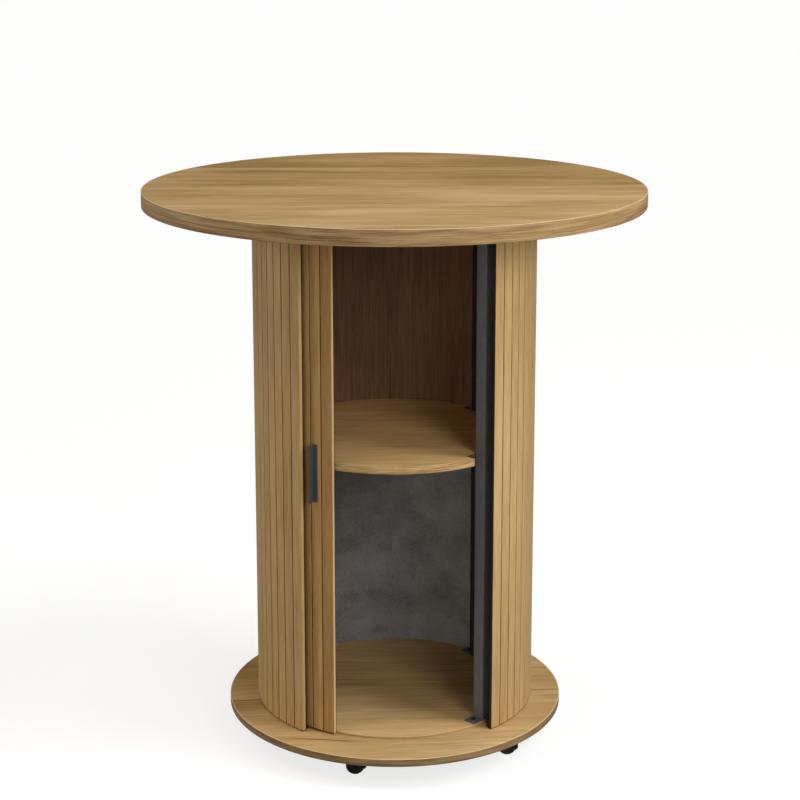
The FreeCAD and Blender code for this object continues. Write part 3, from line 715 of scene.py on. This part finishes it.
SLOT_FINISHES = {
    "oak_laminate": OAK_SHELF_PAINTED_LIGHT, "oak_edge": OAK_RIM, "oak_slats": OAK_SLAT, "brown_liner": BROWN_LINER_PAINTED_LIGHT,
    "felt": FELT_PAINTED_LIGHT, "canvas": CANVAS, "grey_steel": GREY_STEEL_PAINTED_LIGHT, "black_metal": BLACK_METAL,
    "black_steel": BLACK_STEEL, "zinc": ZINC, "black_plastic": BLACK_PLASTIC, "rubber": RUBBER, "tyre": TYRE,
}


# Outlines
def on_circle(radius, angle, height=0.0):
    turn = math.radians(angle)
    return Vector((radius * math.sin(turn), -radius * math.cos(turn), height))


def faced(angle):
    """The turn that sends +X outwards at the angle."""
    return Matrix.Rotation(math.radians(angle - 90), 4, "Z")


def arc_points(radius, start, end, largest_step=1.0):
    steps = max(1, math.ceil(abs(end - start) / largest_step))
    return [on_circle(radius, start + (end - start) * k / steps).xy for k in range(steps + 1)]


def sector_outline(inner, outer, start, end, largest_step=1.0):
    return arc_points(outer, start, end, largest_step) + arc_points(inner, end, start, largest_step)


def rectangle(half_length, half_width):
    return [(-half_length, -half_width), (half_length, -half_width), (half_length, half_width),
            (-half_length, half_width)]


def eased(corners, radius, steps):
    """Round each corner of an outline."""
    points = []
    for index, corner in enumerate(corners):
        here = Vector(corner)
        back = (Vector(corners[index - 1]) - here).normalized()
        ahead = (Vector(corners[(index + 1) % len(corners)]) - here).normalized()
        half = back.angle(ahead) / 2
        middle = here + (back + ahead).normalized() * radius / math.sin(half)
        first = here + back * radius / math.tan(half) - middle
        last = here + ahead * radius / math.tan(half) - middle
        for step in range(steps + 1):
            points.append(middle + first.slerp(last, step / steps) * radius)
    return points


# Meshes
def bridge(bm, rings, steps):
    """Faces from each ring of points to the next, and from the last to the first."""
    for first, second in zip(rings, rings[1:] + rings[:1]):
        for k in range(steps):
            corners = [first[k % len(first)], first[(k + 1) % len(first)],
                       second[(k + 1) % len(second)], second[k % len(second)]]
            corners = list(dict.fromkeys(corners))
            if len(corners) > 2:
                bm.faces.new(corners)
    bmesh.ops.recalc_face_normals(bm, faces=bm.faces)
    return bm


def turned(profile, steps=turned_steps):
    """A closed profile of (radius, height) turned round Z. Points at radius 0 are poles."""
    bm = bmesh.new()
    rings = []
    for radius, height in profile:
        if radius == 0:
            rings.append([bm.verts.new((0, 0, height))])
            continue
        rings.append([bm.verts.new(on_circle(radius, 360 * k / steps, height)) for k in range(steps)])
    return bridge(bm, rings, steps)


def prism(outline, bottom, top):
    bm = bmesh.new()
    face = bm.faces.new([bm.verts.new((x, y, bottom)) for x, y in outline])
    lifted = bmesh.ops.extrude_face_region(bm, geom=[face])["geom"]
    moving = [part for part in lifted if isinstance(part, bmesh.types.BMVert)]
    bmesh.ops.translate(bm, verts=moving, vec=(0, 0, top - bottom))
    bmesh.ops.recalc_face_normals(bm, faces=bm.faces)
    return bm


def tube(outer, inner, bottom, top):
    """A hollow upright with as many points inside as outside."""
    bm = bmesh.new()
    rings = []
    for outline, level in ((outer, bottom), (outer, top), (inner, top), (inner, bottom)):
        rings.append([bm.verts.new((x, y, level)) for x, y in outline])
    return bridge(bm, rings, len(outer))


def ease_edges(bm, width, steps=2, least_angle=50.0):
    sharp = [edge for edge in bm.edges if edge.calc_face_angle(0.0) > math.radians(least_angle)]
    bmesh.ops.bevel(bm, geom=sharp, offset=width, segments=steps, profile=0.5, affect="EDGES",
                    clamp_overlap=True)
    return bm


def new_object(name, data):
    obj = bpy.data.objects.new(name, data)
    bpy.context.scene.collection.objects.link(obj)
    return obj


def piece(name, bm, finish, smooth_angle=32.0):
    """An object from a mesh, smooth where it bends less than the angle."""
    mesh = bpy.data.meshes.new(name)
    bm.to_mesh(mesh)
    bm.free()
    mesh.materials.append(finish)
    mesh.shade_smooth()
    mesh.set_sharp_from_angle(angle=math.radians(smooth_angle))
    return new_object(name, mesh)


def mark(obj, attribute, rule):
    """Store a number at each point of a piece, by a rule on its place."""
    layer = obj.data.attributes.new(attribute, "FLOAT", "POINT")
    layer.data.foreach_set("value", [rule(vertex.co) for vertex in obj.data.vertices])


def carry(obj, body, slot, *nodes):
    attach(obj, body)
    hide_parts(*nodes)
    return obj


def bake_modifiers(obj):
    """Turn what the modifiers make into the piece's own mesh."""
    bpy.context.view_layer.update()
    graph = bpy.context.evaluated_depsgraph_get()
    mesh = bpy.data.meshes.new_from_object(obj.evaluated_get(graph), preserve_all_data_layers=True,
                                           depsgraph=graph)
    obj.modifiers.clear()
    obj.data = mesh
    return obj


def combine(obj, other, operation):
    """Join another piece to this one, or cut it away, and drop it."""
    modifier = obj.modifiers.new(operation, "BOOLEAN")
    modifier.operation = operation
    modifier.solver = "EXACT"
    modifier.object = other
    bake_modifiers(obj)
    bpy.data.objects.remove(other)
    return obj


# Geometry node trees for what repeats
def finish_copies(tree, copies, source, target):
    """Number each copy by chance, make it real and give it its finish."""
    chance = add(tree, "FunctionNodeRandomValue", {"ID": add(tree, "GeometryNodeInputIndex").outputs[0],
                                                   "Seed": source["Seed"]}, data_type="FLOAT")
    numbered = add(tree, "GeometryNodeStoreNamedAttribute",
                   {"Geometry": copies, "Name": "slat_chance", "Value": chance.outputs[1]},
                   data_type="FLOAT", domain="INSTANCE")
    real = add(tree, "GeometryNodeRealizeInstances", {"Geometry": numbered.outputs[0]})
    done = add(tree, "GeometryNodeSetMaterial", {"Geometry": real.outputs[0], "Material": source["Finish"]})
    tree.links.new(done.outputs[0], target["Pieces"])


def make_slats_round_axis():
    """Copies of the piece that comes in, at an even pitch round the table's axis."""
    tree, source, target = new_group(
        "slats_round_axis", "GeometryNodeTree",
        [("Slat", "Geometry", None), ("Count", "Int", 1), ("First Angle", "Float", 0.0),
         ("Pitch Angle", "Float", 0.1), ("Seed", "Int", 0), ("Finish", "Material", None)],
        [("Pieces", "Geometry")])
    points = add(tree, "GeometryNodeMeshLine", {"Count": source["Count"], "Offset": (0.0, 0.0, 0.0)},
                 mode="OFFSET").outputs[0]
    number = add(tree, "GeometryNodeInputIndex").outputs[0]
    angle = add_times(tree, number, source["Pitch Angle"], source["First Angle"])
    turn = join(tree, {2: angle})
    rotation = add(tree, "FunctionNodeEulerToRotation", {0: turn}).outputs[0]
    copies = add(tree, "GeometryNodeInstanceOnPoints",
                 {"Points": points, "Instance": source["Slat"], "Rotation": rotation}).outputs[0]
    finish_copies(tree, copies, source, target)
    return tree


def make_copies_at_places():
    """Copies of an object at the points that come in, each turned by its point's turn."""
    tree, source, target = new_group(
        "copies_at_places", "GeometryNodeTree",
        [("Places", "Geometry", None), ("Piece", "Object", None), ("Seed", "Int", 0),
         ("Finish", "Material", None)],
        [("Pieces", "Geometry")])
    model = add(tree, "GeometryNodeObjectInfo", {"Object": source["Piece"]}).outputs["Geometry"]
    turn = add(tree, "GeometryNodeInputNamedAttribute", {"Name": "turn"}, data_type="FLOAT_VECTOR")
    rotation = add(tree, "FunctionNodeEulerToRotation", {0: turn.outputs[0]}).outputs[0]
    copies = add(tree, "GeometryNodeInstanceOnPoints",
                 {"Points": source["Places"], "Instance": model, "Rotation": rotation}).outputs[0]
    finish_copies(tree, copies, source, target)
    return tree


SLATS_ROUND_AXIS = make_slats_round_axis()
COPIES_AT_PLACES = make_copies_at_places()


def run_tree(obj, tree, values):
    """Give a tree its inputs on an object and keep the mesh that it makes."""
    modifier = obj.modifiers.new(tree.name, "NODES")
    modifier.node_group = tree
    for item in tree.interface.items_tree:
        if item.item_type == "SOCKET" and item.in_out == "INPUT" and item.name in values:
            modifier[item.identifier] = values[item.name]
    return bake_modifiers(obj)


def copies(name, model, places, finish, seed=0):
    """Copies of a model at places given as (point, turn)."""
    mesh = bpy.data.meshes.new(name)
    mesh.from_pydata([tuple(point) for point, turn in places], [], [])
    turns = mesh.attributes.new("turn", "FLOAT_VECTOR", "POINT")
    turns.data.foreach_set("vector", [part for point, turn in places for part in turn])
    values = {"Piece": model, "Seed": seed, "Finish": finish}
    return run_tree(new_object(name, mesh), COPIES_AT_PLACES, values)


def faced_place(angle, radial, tangential, height, roll=(0.0, 0.0)):
    """A place given outwards and sideways at an angle, with a first turn about X and Y."""
    point = faced(angle) @ Vector((radial, tangential, height))
    return point, (roll[0], roll[1], math.radians(angle - 90))


FACE_UP = (0.0, 0.0)
FACE_DOWN = (math.pi, 0.0)
FACE_INWARDS = (0.0, -math.pi / 2)


# Boards
def band_profile(radius, bottom, top):
    """Section of an edge band with its two outer corners rounded."""
    inner = radius - edge_band_thickness
    quarter = [(math.sin(step * math.pi / 8), math.cos(step * math.pi / 8)) for step in range(5)]
    upper = [(radius - edge_round + edge_round * across, top - edge_round + edge_round * along)
             for across, along in quarter]
    lower = [(radius - edge_round + edge_round * across, bottom + edge_round - edge_round * along)
             for across, along in reversed(quarter)]
    return [(inner, top)] + upper + lower + [(inner, bottom)]


def edge_band(name, radius, bottom, top, finish, node):
    band = piece(name, turned(band_profile(radius, bottom, top)), finish)

    def arris_painted_highlight(point):
        return max(0.0, 1 - (top - point.z) / edge_round)

    mark(band, "arris_painted_highlight", arris_painted_highlight)
    carry(band, "cabinet", "oak_edge", node)


def board(name, radius, bottom, top, finish, node, ease=board_ease):
    profile = [(0, bottom), (radius - ease, bottom), (radius, bottom + ease), (radius, top - ease),
               (radius - ease, top), (0, top)]
    carry(piece(name, turned(profile), finish), "cabinet", "oak_laminate", node)


board("table_top_board", tabletop_radius - edge_band_thickness, top_bottom, top_level, OAK_TOP, "tabletop",
      banded_ease)
edge_band("table_top_rim", tabletop_radius, top_bottom, top_level, OAK_RIM, "tabletop_edge_band")
board("base_board", base_radius - edge_band_thickness, base_bottom, base_top, OAK_BASE, "base_plate",
      banded_ease)
edge_band("base_rim", base_radius, base_bottom, base_top, OAK_BASE_RIM, "base_edge_band")
board("cabinet_floor_disc", floor_disc_radius, base_top, floor_top, OAK_DISC_PAINTED_LIGHT, "floor_disc", disc_ease)


# Shelf with notches round the posts
def notch_sides(side):
    ends = (-side * (post_size / 2 + notch_gap), side * (post_size / 2 + tab_length + notch_gap))
    return min(ends), max(ends)


def shelf_arc(radius, index):
    """The rim from one post's notch to the next."""
    angle, side = POSTS[index]
    next_angle, next_side = POSTS[(index + 1) % len(POSTS)]
    start = angle + math.degrees(math.asin(notch_sides(side)[1] / radius))
    end = next_angle + math.degrees(math.asin(notch_sides(next_side)[0] / radius))
    return arc_points(radius, start, end if end > start else end + 360)


def shelf_outline(radius):
    points = []
    for index, (angle, side) in enumerate(POSTS):
        near, far = notch_sides(side)
        depth = post_inner_radius - notch_gap
        for tangential in (near, far):
            points.append((faced(angle) @ Vector((depth, tangential, 0))).xy)
        points += shelf_arc(radius, index)
    return points


def shelf():
    bm = prism(shelf_outline(shelf_radius - shelf_edge_thickness), shelf_bottom, shelf_top)
    carry(piece("shelf_board", bm, OAK_SHELF_PAINTED_LIGHT), "cabinet", "oak_laminate", "shelf")
    strips = bmesh.new()
    for index in range(len(POSTS)):
        outer = shelf_arc(shelf_radius, index)
        inner = shelf_arc(shelf_radius - shelf_edge_thickness, index)
        strip = ease_edges(prism(outer + inner[::-1], shelf_bottom, shelf_top), shelf_edge_ease)
        mesh = bpy.data.meshes.new("strip")
        strip.to_mesh(mesh)
        strip.free()
        strips.from_mesh(mesh)
    band = piece("shelf_rim", strips, OAK_SHELF_RIM_PAINTED_LIGHT)

    def arris_painted_highlight(point):
        high_enough = point.z > shelf_top - shelf_arris_height
        return 1.0 if high_enough and point.xy.length > shelf_radius - shelf_arris_depth else 0.0

    mark(band, "arris_painted_highlight", arris_painted_highlight)
    carry(band, "cabinet", "oak_edge", "shelf_edge_band")


shelf()


# Slats on their canvas
def slat_model(name, inner, pitch_angle, bottom, top, square_lead=False):
    """One slat with its back at the inner radius on +X, bevelled towards its neighbours."""
    slope = math.tan(math.radians(pitch_angle / 2))
    outer = inner + slat_thickness
    foot = outer - groove_depth
    inner_half = inner * slope - slat_gap / 2
    foot_half = foot * slope - slat_gap / 2
    outer_half = outer * slope - groove_width / 2
    lead_half = outer * slope - slat_gap / 2 if square_lead else outer_half
    outline = [(inner, -inner_half), (foot, -foot_half), (outer, -outer_half),
               (outer, lead_half), (foot, foot_half), (inner, inner_half)]
    bm = ease_edges(prism(outline, bottom, top), slat_ease, least_angle=30.0)
    obj = piece(name, bm, OAK_SLAT, smooth_angle=20.0)

    # Per point: painted shade by depth in the groove, and a painted highlight on the lead slat's end
    def groove(point):
        if square_lead and point.y > 0:
            return lead_end_painted_highlight if point.y > inner_half else 0.0
        return min(1.0, max(0.0, (outer - slat_ease - point.x) / (groove_depth - slat_ease)))

    mark(obj, "groove", groove)
    return obj


def slats(name, model, count, first_angle, pitch_angle, seed, body, *nodes, finish=OAK_SLAT):
    values = {"Count": count, "First Angle": math.radians(first_angle - 90),
              "Pitch Angle": math.radians(pitch_angle), "Seed": seed, "Finish": finish}
    model.name = name
    carry(run_tree(model, SLATS_ROUND_AXIS, values), body, "oak_slats", *nodes)


def paint_end_light(obj, angle, shade):
    """Give the slat's side next to the opening a painted shade or painted highlight value."""
    values = obj.data.attributes["groove"].data
    turn_back = faced(angle).inverted()
    for vertex in obj.data.vertices:
        if abs((turn_back @ vertex.co).y) < groove_width and values[vertex.index].value > least_groove:
            values[vertex.index].value = shade


per_section = shell_slat_count // len(shell_sections)
for section, side_name in enumerate(shell_sections):
    first_middle = opening_angle / 2 + (section * per_section + 0.5) * shell_slat_angle
    shell_slat = slat_model("shell_slat", shell_backing_radius, shell_slat_angle, shell_foot, top_bottom)
    slats("shell_wall_" + side_name, shell_slat, per_section, first_middle, shell_slat_angle, section + 3,
          "cabinet", "shell_slats_" + side_name)
    if side_name == "right":
        # Painted shade on the right shell's end face
        paint_end_light(shell_slat, opening_angle / 2, dark_end_painted_shade)
    if side_name == "left":
        # The left shell takes its darker, warmer slat finish as painted shade
        shell_slat.data.materials[0] = OAK_LEFT_SLAT_PAINTED_SHADE
        # Painted highlight on the left shell's lit end face
        paint_end_light(shell_slat, -opening_angle / 2, pale_end_painted_highlight)

lead_slat = slat_model("lead_slat", door_backing_radius, door_slat_angle, door_bottom, door_top, True)
slats("door_lead_edge", lead_slat, 1, door_lead_angle - door_slat_angle / 2, -door_slat_angle, 7,
      "door", "door_lead_slat", finish=OAK_LEAD_PAINTED_SHADE)
door_slat = slat_model("door_slat", door_backing_radius, door_slat_angle, door_bottom, door_top)
slats("door_wall", door_slat, door_slat_count - 1, handle_angle, -door_slat_angle, 8,
      "door", "door_slats", finish=OAK_DOOR_SLAT_PAINTED_LIGHT)


def curved_sheet(name, inner, outer, start, end, bottom, top, finish, body, slot, node):
    bm = prism(sector_outline(inner, outer, start, end), bottom, top)
    return carry(piece(name, bm, finish), body, slot, node)


shell_end = 360 - opening_angle / 2
shell_canvas = curved_sheet("shell_canvas", shell_backing_radius - backing_thickness, shell_backing_radius,
                            opening_angle / 2, shell_end, base_top, top_bottom, CANVAS,
                            "cabinet", "canvas", "shell_backing")
door_canvas = curved_sheet("door_canvas", door_inner_radius, door_backing_radius, door_tail_angle,
                           door_lead_angle, door_bottom, door_top, CANVAS, "door", "canvas", "door_backing")


# Liner panels between the posts, and the felt on their lower part
def side_angle(offset):
    return math.degrees(math.asin(offset / liner_inner_radius))


ends = [angle for angle, side in POSTS]
for bay_name, start, end in zip(("right", "rear", "left"), ends[:-1], ends[1:]):
    lap = side_angle(post_size / 2 - liner_lap)
    curved_sheet("liner_panel_" + bay_name, liner_inner_radius, liner_outer_radius, start + lap, end - lap,
                 floor_top, roof_bottom, BROWN_LINER_PAINTED_LIGHT, "cabinet", "brown_liner", "liner_" + bay_name)
    clear = side_angle(post_size / 2 + felt_gap)
    felt = curved_sheet("felt_" + bay_name, liner_inner_radius - felt_thickness, liner_inner_radius,
                        start + clear, end - clear, floor_top, shelf_bottom - felt_gap, FELT_PAINTED_LIGHT,
                        "cabinet", "felt", "felt_lining")


# Posts
def square_outline(size, corner):
    return eased(rectangle(size / 2, size / 2), corner, 4)


def posts(name, angles, finish, node):
    outer = square_outline(post_size, post_corner)
    inner = square_outline(post_size - 2 * post_wall, post_inner_corner)
    model = piece("post_model", tube(outer, inner, floor_top, roof_bottom), finish, 40.0)
    places = [faced_place(angle, post_middle_radius, 0.0, 0.0) for angle in angles]
    obj = copies(name, model, places, finish)
    bpy.data.objects.remove(model)
    carry(obj, "cabinet", "grey_steel", node)


posts("front_uprights", (front_post_angle, 360 - front_post_angle), GREY_STEEL_PAINTED_LIGHT, "front_posts")
posts("rear_uprights", (rear_post_angle, 360 - rear_post_angle), REAR_POST_PAINTED_SHADE_COAT, "rear_posts")


# Handle
def handle():
    face = door_backing_radius + slat_thickness
    start = -handle_side
    outline = [(face, start), (face + handle_stand, start), (face + handle_stand, start + handle_wall),
               (face + handle_wall, start + handle_wall), (face + handle_wall, start + handle_flange),
               (face, start + handle_flange)]
    bm = prism(outline, handle_bottom, handle_top)
    tips = []
    for edge in bm.edges:
        ends_out = all(abs(vertex.co.x - face - handle_stand) < handle_ease for vertex in edge.verts)
        if ends_out and abs(edge.verts[0].co.y - edge.verts[1].co.y) > handle_wall / 2:
            tips.append(edge)
    bmesh.ops.bevel(bm, geom=tips, offset=handle_corner, segments=6, profile=0.5, affect="EDGES")
    ease_edges(bm, handle_ease, 2, 60.0)
    bm.transform(faced(handle_angle))
    carry(piece("door_handle", bm, BLACK_METAL), "door", "black_metal", "handle")


handle()


# Screws
def screw_model(sizes):
    """A screw with a domed head and a cross recess, its head's underside at the origin."""
    head_radius, head_height, shank_radius, shank_length = sizes
    rise = []
    for step in range(head_steps):
        turn = step * head_step_turn
        share = head_edge_share + (1 - head_edge_share) * math.sin(turn)
        rise.append((head_radius * math.cos(turn), head_height * share))
    tip = shank_radius * tip_share
    profile = [(0, head_height)] + rise[::-1] + [(head_radius, 0), (shank_radius, 0),
                                                 (shank_radius, -shank_length + tip), (0, -shank_length)]
    model = piece("screw_model", turned(profile, steps=24), ZINC, smooth_angle=35.0)
    reach = head_radius * recess_share
    for half_length, half_width in ((reach, recess_width / 2), (recess_width / 2, reach)):
        outline = rectangle(half_length, half_width)
        bar = prism(outline, head_height - recess_depth, head_height + recess_depth)
        combine(model, piece("recess", bar, ZINC), "DIFFERENCE")
    return model


def screws(name, kinds, finish, slot, body, node):
    """Screws of one or more kinds, each with its places, as one piece."""
    parts = []
    for sizes, places in kinds:
        model = screw_model(sizes)
        parts.append(copies(name, model, places, finish))
        bpy.data.objects.remove(model)
    whole = bmesh.new()
    for part in parts:
        whole.from_mesh(part.data)
        bpy.data.objects.remove(part)
    carry(piece(name, whole, finish, smooth_angle=35.0), body, slot, node)


def at_posts(radial, sideways, height, roll):
    """A place at each post, sideways towards its tab."""
    return [faced_place(angle, radial, side * sideways, height, roll) for angle, side in POSTS]


tab_middle = post_size / 2 + tab_length / 2
foot_places = at_posts(post_middle_radius, tab_middle, floor_top + tab_thickness, FACE_UP)
head_places = at_posts(post_middle_radius, tab_middle, roof_bottom - tab_thickness, FACE_DOWN)
shelf_places = at_posts(post_inner_radius - shelf_screw_inset, 0.0, shelf_bottom - tab_thickness, FACE_DOWN)
handle_places = [faced_place(handle_angle, door_inner_radius + handle_screw[1],
                             -handle_side + (handle_flange + handle_wall) / 2, level, FACE_INWARDS)
                 for level in (handle_bottom + handle_screw_inset, handle_top - handle_screw_inset)]
plate_places = [faced_place(caster_first_angle + caster_step * index,
                            caster_circle_radius + radial * caster_hole_offset,
                            tangential * caster_hole_offset, base_bottom - caster_plate_thickness, FACE_DOWN)
                for index in range(len(caster_turns)) for radial in (-1, 1) for tangential in (-1, 1)]
screws("post_fixings", [(post_screw, foot_places), (roof_screw, head_places)], BLACK_STEEL, "black_steel",
       "cabinet", "post_screws")
screws("shelf_fixings", [(shelf_screw, shelf_places)], ZINC, "zinc", "cabinet", "shelf_screws")
screws("handle_fixings", [(handle_screw, handle_places)], BLACK_STEEL, "black_steel",
       "door", "handle_screws")
screws("caster_fixings", [(caster_screw, plate_places)], ZINC, "zinc", "cabinet", "caster_screws")


# Casters
LYING = Matrix.Rotation(math.pi / 2, 4, "X")


def across(bm, length):
    """Lay a model made along Z so that it runs along Y, centred."""
    bm.transform(LYING @ Matrix.Translation((0, 0, -length / 2)))
    return bm


def round_outline(radius, steps=48):
    return [on_circle(radius, 360 * step / steps).xy for step in range(steps)]


def hood_model():
    """Kingpin boss, web, axle boss and the hood over both wheels, with the axle at the origin."""
    inner = wheel_radius + hood_gap
    outer = inner + hood_wall
    width = wheel_gap + 2 * (wheel_width + hood_overhang)
    hood_angles = (hood_low_angle, hood_lip_angle, hood_high_angle)
    low_turn, lip_turn, high_turn = (angle + 90 for angle in hood_angles)
    arch = arc_points(outer, low_turn, high_turn, hood_arc_step)
    arch += arc_points(inner, high_turn, lip_turn, hood_arc_step)
    arch_mesh = ease_edges(across(prism(arch, 0, width), width), hood_ease, steps=3, least_angle=60.0)
    hood = piece("hood_model", arch_mesh, BLACK_PLASTIC)
    sector = [(0, 0)] + arc_points(inner + web_overlap, lip_turn, high_turn, hood_arc_step)
    plates = [piece(part, across(prism(outline, 0, web_thickness), web_thickness), BLACK_PLASTIC)
              for part, outline in (("web", sector), ("axle_boss", round_outline(axle_boss_radius)))]
    web = combine(plates[0], plates[1], "UNION")
    boss_top = base_bottom - caster_plate_thickness - boss_gap - wheel_radius
    column = prism(round_outline(boss_radius), boss_top - boss_height, boss_top)
    column.transform(Matrix.Translation((-trail, 0, 0)))
    boss = piece("boss", column, BLACK_PLASTIC)
    for side in (-1, 1):
        room_width = wheel_width + 2 * hood_overhang
        room = across(prism(round_outline(inner, 96), 0, room_width), room_width)
        room.transform(Matrix.Translation((0, side * (wheel_gap + wheel_width + hood_overhang) / 2, 0)))
        combine(boss, piece("room", room, BLACK_PLASTIC), "DIFFERENCE")
    for part in (web, boss):
        combine(hood, part, "UNION")
    pin_top = boss_top + boss_gap + bore_past_boss
    pin = prism(round_outline(kingpin_radius), boss_top - kingpin_length, pin_top)
    pin.transform(Matrix.Translation((-trail, 0, 0)))
    combine(hood, piece("pin_bore", pin, BLACK_PLASTIC), "DIFFERENCE")
    hood.data.shade_smooth()
    hood.data.set_sharp_from_angle(angle=math.radians(35))
    return hood


def wheel_part(name, section, finish):
    bm = turned(section, steps=72)
    bm.transform(Matrix.Rotation(-math.pi / 2, 4, "X"))
    return piece(name, bm, finish)


def tyre_model():
    """One tyre round Y, its outer side towards +Y."""
    turns = [step * math.pi / 8 for step in range(5)]
    quarter = [(tyre_round * (1 - math.sin(turn)), tyre_round * (1 - math.cos(turn))) for turn in turns]
    section = [(hub_radius, wheel_near)]
    section += [(wheel_radius - down, wheel_near + sideways) for down, sideways in quarter]
    section += [(wheel_radius - down, wheel_far - sideways) for sideways, down in quarter]
    section.append((hub_radius, wheel_far))
    return wheel_part("tyre_model", section, TYRE)


def hub_model():
    """One wheel's dished hub with its cap, its outer side towards +Y."""
    dish = wheel_far - hub_recess
    section = [(axle_radius, wheel_near), (hub_radius, wheel_near), (hub_radius, wheel_far),
               (hub_radius - hub_ease, wheel_far), (hub_radius - hub_rim + hub_ease, wheel_far),
               (hub_radius - hub_rim, wheel_far - hub_ease), (hub_radius - hub_rim - hub_recess, dish)]
    section += [(hub_cap_radius + out, dish + rise) for out, rise in hub_cap_steps]
    section += [(0, dish + hub_cap_height), (0, dish + hub_cap_bottom), (axle_radius, dish + hub_cap_bottom)]
    return wheel_part("hub_model", section, BLACK_PLASTIC)


def casters():
    hood = hood_model()
    tyre = tyre_model()
    hub = hub_model()
    for index, turn in enumerate(caster_turns):
        pin = on_circle(caster_circle_radius, caster_first_angle + caster_step * index)
        heading = math.radians(turn)
        centre = pin + Matrix.Rotation(heading, 3, "Z") @ Vector((trail, 0, wheel_radius))
        prefix = "caster_" + str(index + 1)
        pair = [(centre, (0.0, 0.0, heading)), (centre, (0.0, 0.0, heading + math.pi))]
        whole = copies(prefix + "_hood", hood, pair[:1], BLACK_PLASTIC)
        carry(whole, prefix + "_swivel", "black_plastic", prefix + "_housing")
        carry(copies(prefix + "_tyre_pair", tyre, pair, TYRE), prefix + "_wheels", "tyre", prefix + "_tyres")
        carry(copies(prefix + "_hub_pair", hub, pair, BLACK_PLASTIC), prefix + "_wheels", "black_plastic",
              prefix + "_hubs")
    for model in (hood, tyre, hub):
        bpy.data.objects.remove(model)


casters()


# Finishes of the CAD nodes that stay
for subpart in frame["record"]["subparts"]:
    node = frame["nodes"][subpart["node"]]
    finish = SLOT_FINISHES[subpart["material_slot"]]
    if node.material_slots:
        node.material_slots[0].material = finish
    else:
        node.data.materials.append(finish)


# Floor, light and camera
photo_size = 800
focal_pixels = 1882.32
sensor_width = 36.0
horizon_shift = -0.15
camera_place = (-0.0829, -3.3293, 1.5233)
camera_pitch = 11.527
camera_turn = -1.595
floor_half = 40.0
softbox_distance = 2.6
softbox_size = 1.2
softbox_aim = (0.0, 0.0, 0.55)
softboxes = ((25.0, 25.0, 20.0), (65.0, 25.0, 22.0))  # azimuth, elevation, power
# Name, azimuth, elevation, strength, spread, colour
far_lights = (
    ("left_low", -110.0, 9.0, 1.05, 25.0, (1.09, 1.0, 0.88)),
    ("left_high", -75.0, 55.0, 0.6, 25.0, (1.06, 1.0, 0.93)),
    ("front_low", -10.0, 8.0, 0.37, 25.0, (1.06, 1.0, 0.9)),
    ("right_high", 70.0, 55.0, 1.0, 25.0, (1.0, 1.0, 1.02)),
    ("overhead", 0.0, 88.0, 0.5, 25.0, (1.0, 1.0, 1.0)),
)
ambient = 0.03
floor_grey = 0.3
floor_glow = 0.78


def pale_floor():
    mesh = bpy.data.meshes.new("floor")
    corners = [(x, y, 0) for x, y in rectangle(floor_half, floor_half)]
    mesh.from_pydata(corners, [], [(0, 1, 2, 3)])
    material, tree, shader = new_finish("pale_floor")
    shader.inputs["Base Color"].default_value = (floor_grey, floor_grey, floor_grey, 1.0)
    shader.inputs["Roughness"].default_value = 0.9
    shader.inputs["Specular IOR Level"].default_value = 0.0
    shader.inputs["Emission Color"].default_value = (1.0, 1.0, 1.0, 1.0)
    seen = add(tree, "ShaderNodeLightPath").outputs["Is Camera Ray"]
    tree.links.new(times(tree, seen, floor_glow), shader.inputs["Emission Strength"])
    mesh.materials.append(material)
    new_object("floor", mesh)


def surroundings():
    world = bpy.data.worlds.new("studio")
    bpy.context.scene.world = world
    world.use_nodes = True
    tree = world.node_tree
    background = tree.nodes["Background"]
    background.inputs["Color"].default_value = (1.0, 1.0, 1.0, 1.0)
    rays = add(tree, "ShaderNodeLightPath").outputs
    seen = math_node(tree, "MAXIMUM", rays["Is Camera Ray"], rays["Is Transmission Ray"])
    strength = ramp(tree, seen, 0.0, 1.0, ambient, 1.0)
    tree.links.new(strength, background.inputs["Strength"])


def new_lamp(name, kind, azimuth, elevation, energy, colour):
    """A lamp aimed at the table from an azimuth, counted as the angles above, and an elevation."""
    lamp = bpy.data.lights.new(name, kind)
    lamp.energy = energy
    lamp.color = colour
    obj = new_object(name, lamp)
    obj.rotation_euler = Euler((math.radians(90 - elevation), 0.0, math.radians(azimuth)))
    return obj


def studio_lights():
    for name, azimuth, elevation, strength, spread, colour in far_lights:
        new_lamp(name, "SUN", azimuth, elevation, strength, colour).data.angle = math.radians(spread)
    for number, (azimuth, elevation, power) in enumerate(softboxes):
        obj = new_lamp("softbox_" + str(number + 1), "AREA", azimuth, elevation, power, (1.0, 1.0, 1.0))
        obj.data.shape = "DISK"
        obj.data.size = softbox_size
        obj.visible_camera = False
        away = Matrix.Rotation(math.radians(-elevation), 3, "X") @ Vector((0, -softbox_distance, 0))
        obj.location = Vector(softbox_aim) + Matrix.Rotation(math.radians(azimuth), 3, "Z") @ away


def photo_camera():
    data = bpy.data.cameras.new("photo_camera")
    data.sensor_width = sensor_width
    data.lens = focal_pixels * sensor_width / photo_size
    data.shift_y = horizon_shift
    obj = new_object("photo_camera", data)
    obj.location = camera_place
    obj.rotation_euler = Euler((math.radians(90 - camera_pitch), 0.0, math.radians(camera_turn)))
    bpy.context.scene.camera = obj


pale_floor()
surroundings()
studio_lights()
photo_camera()
bpy.context.scene.view_settings.view_transform = "Standard"
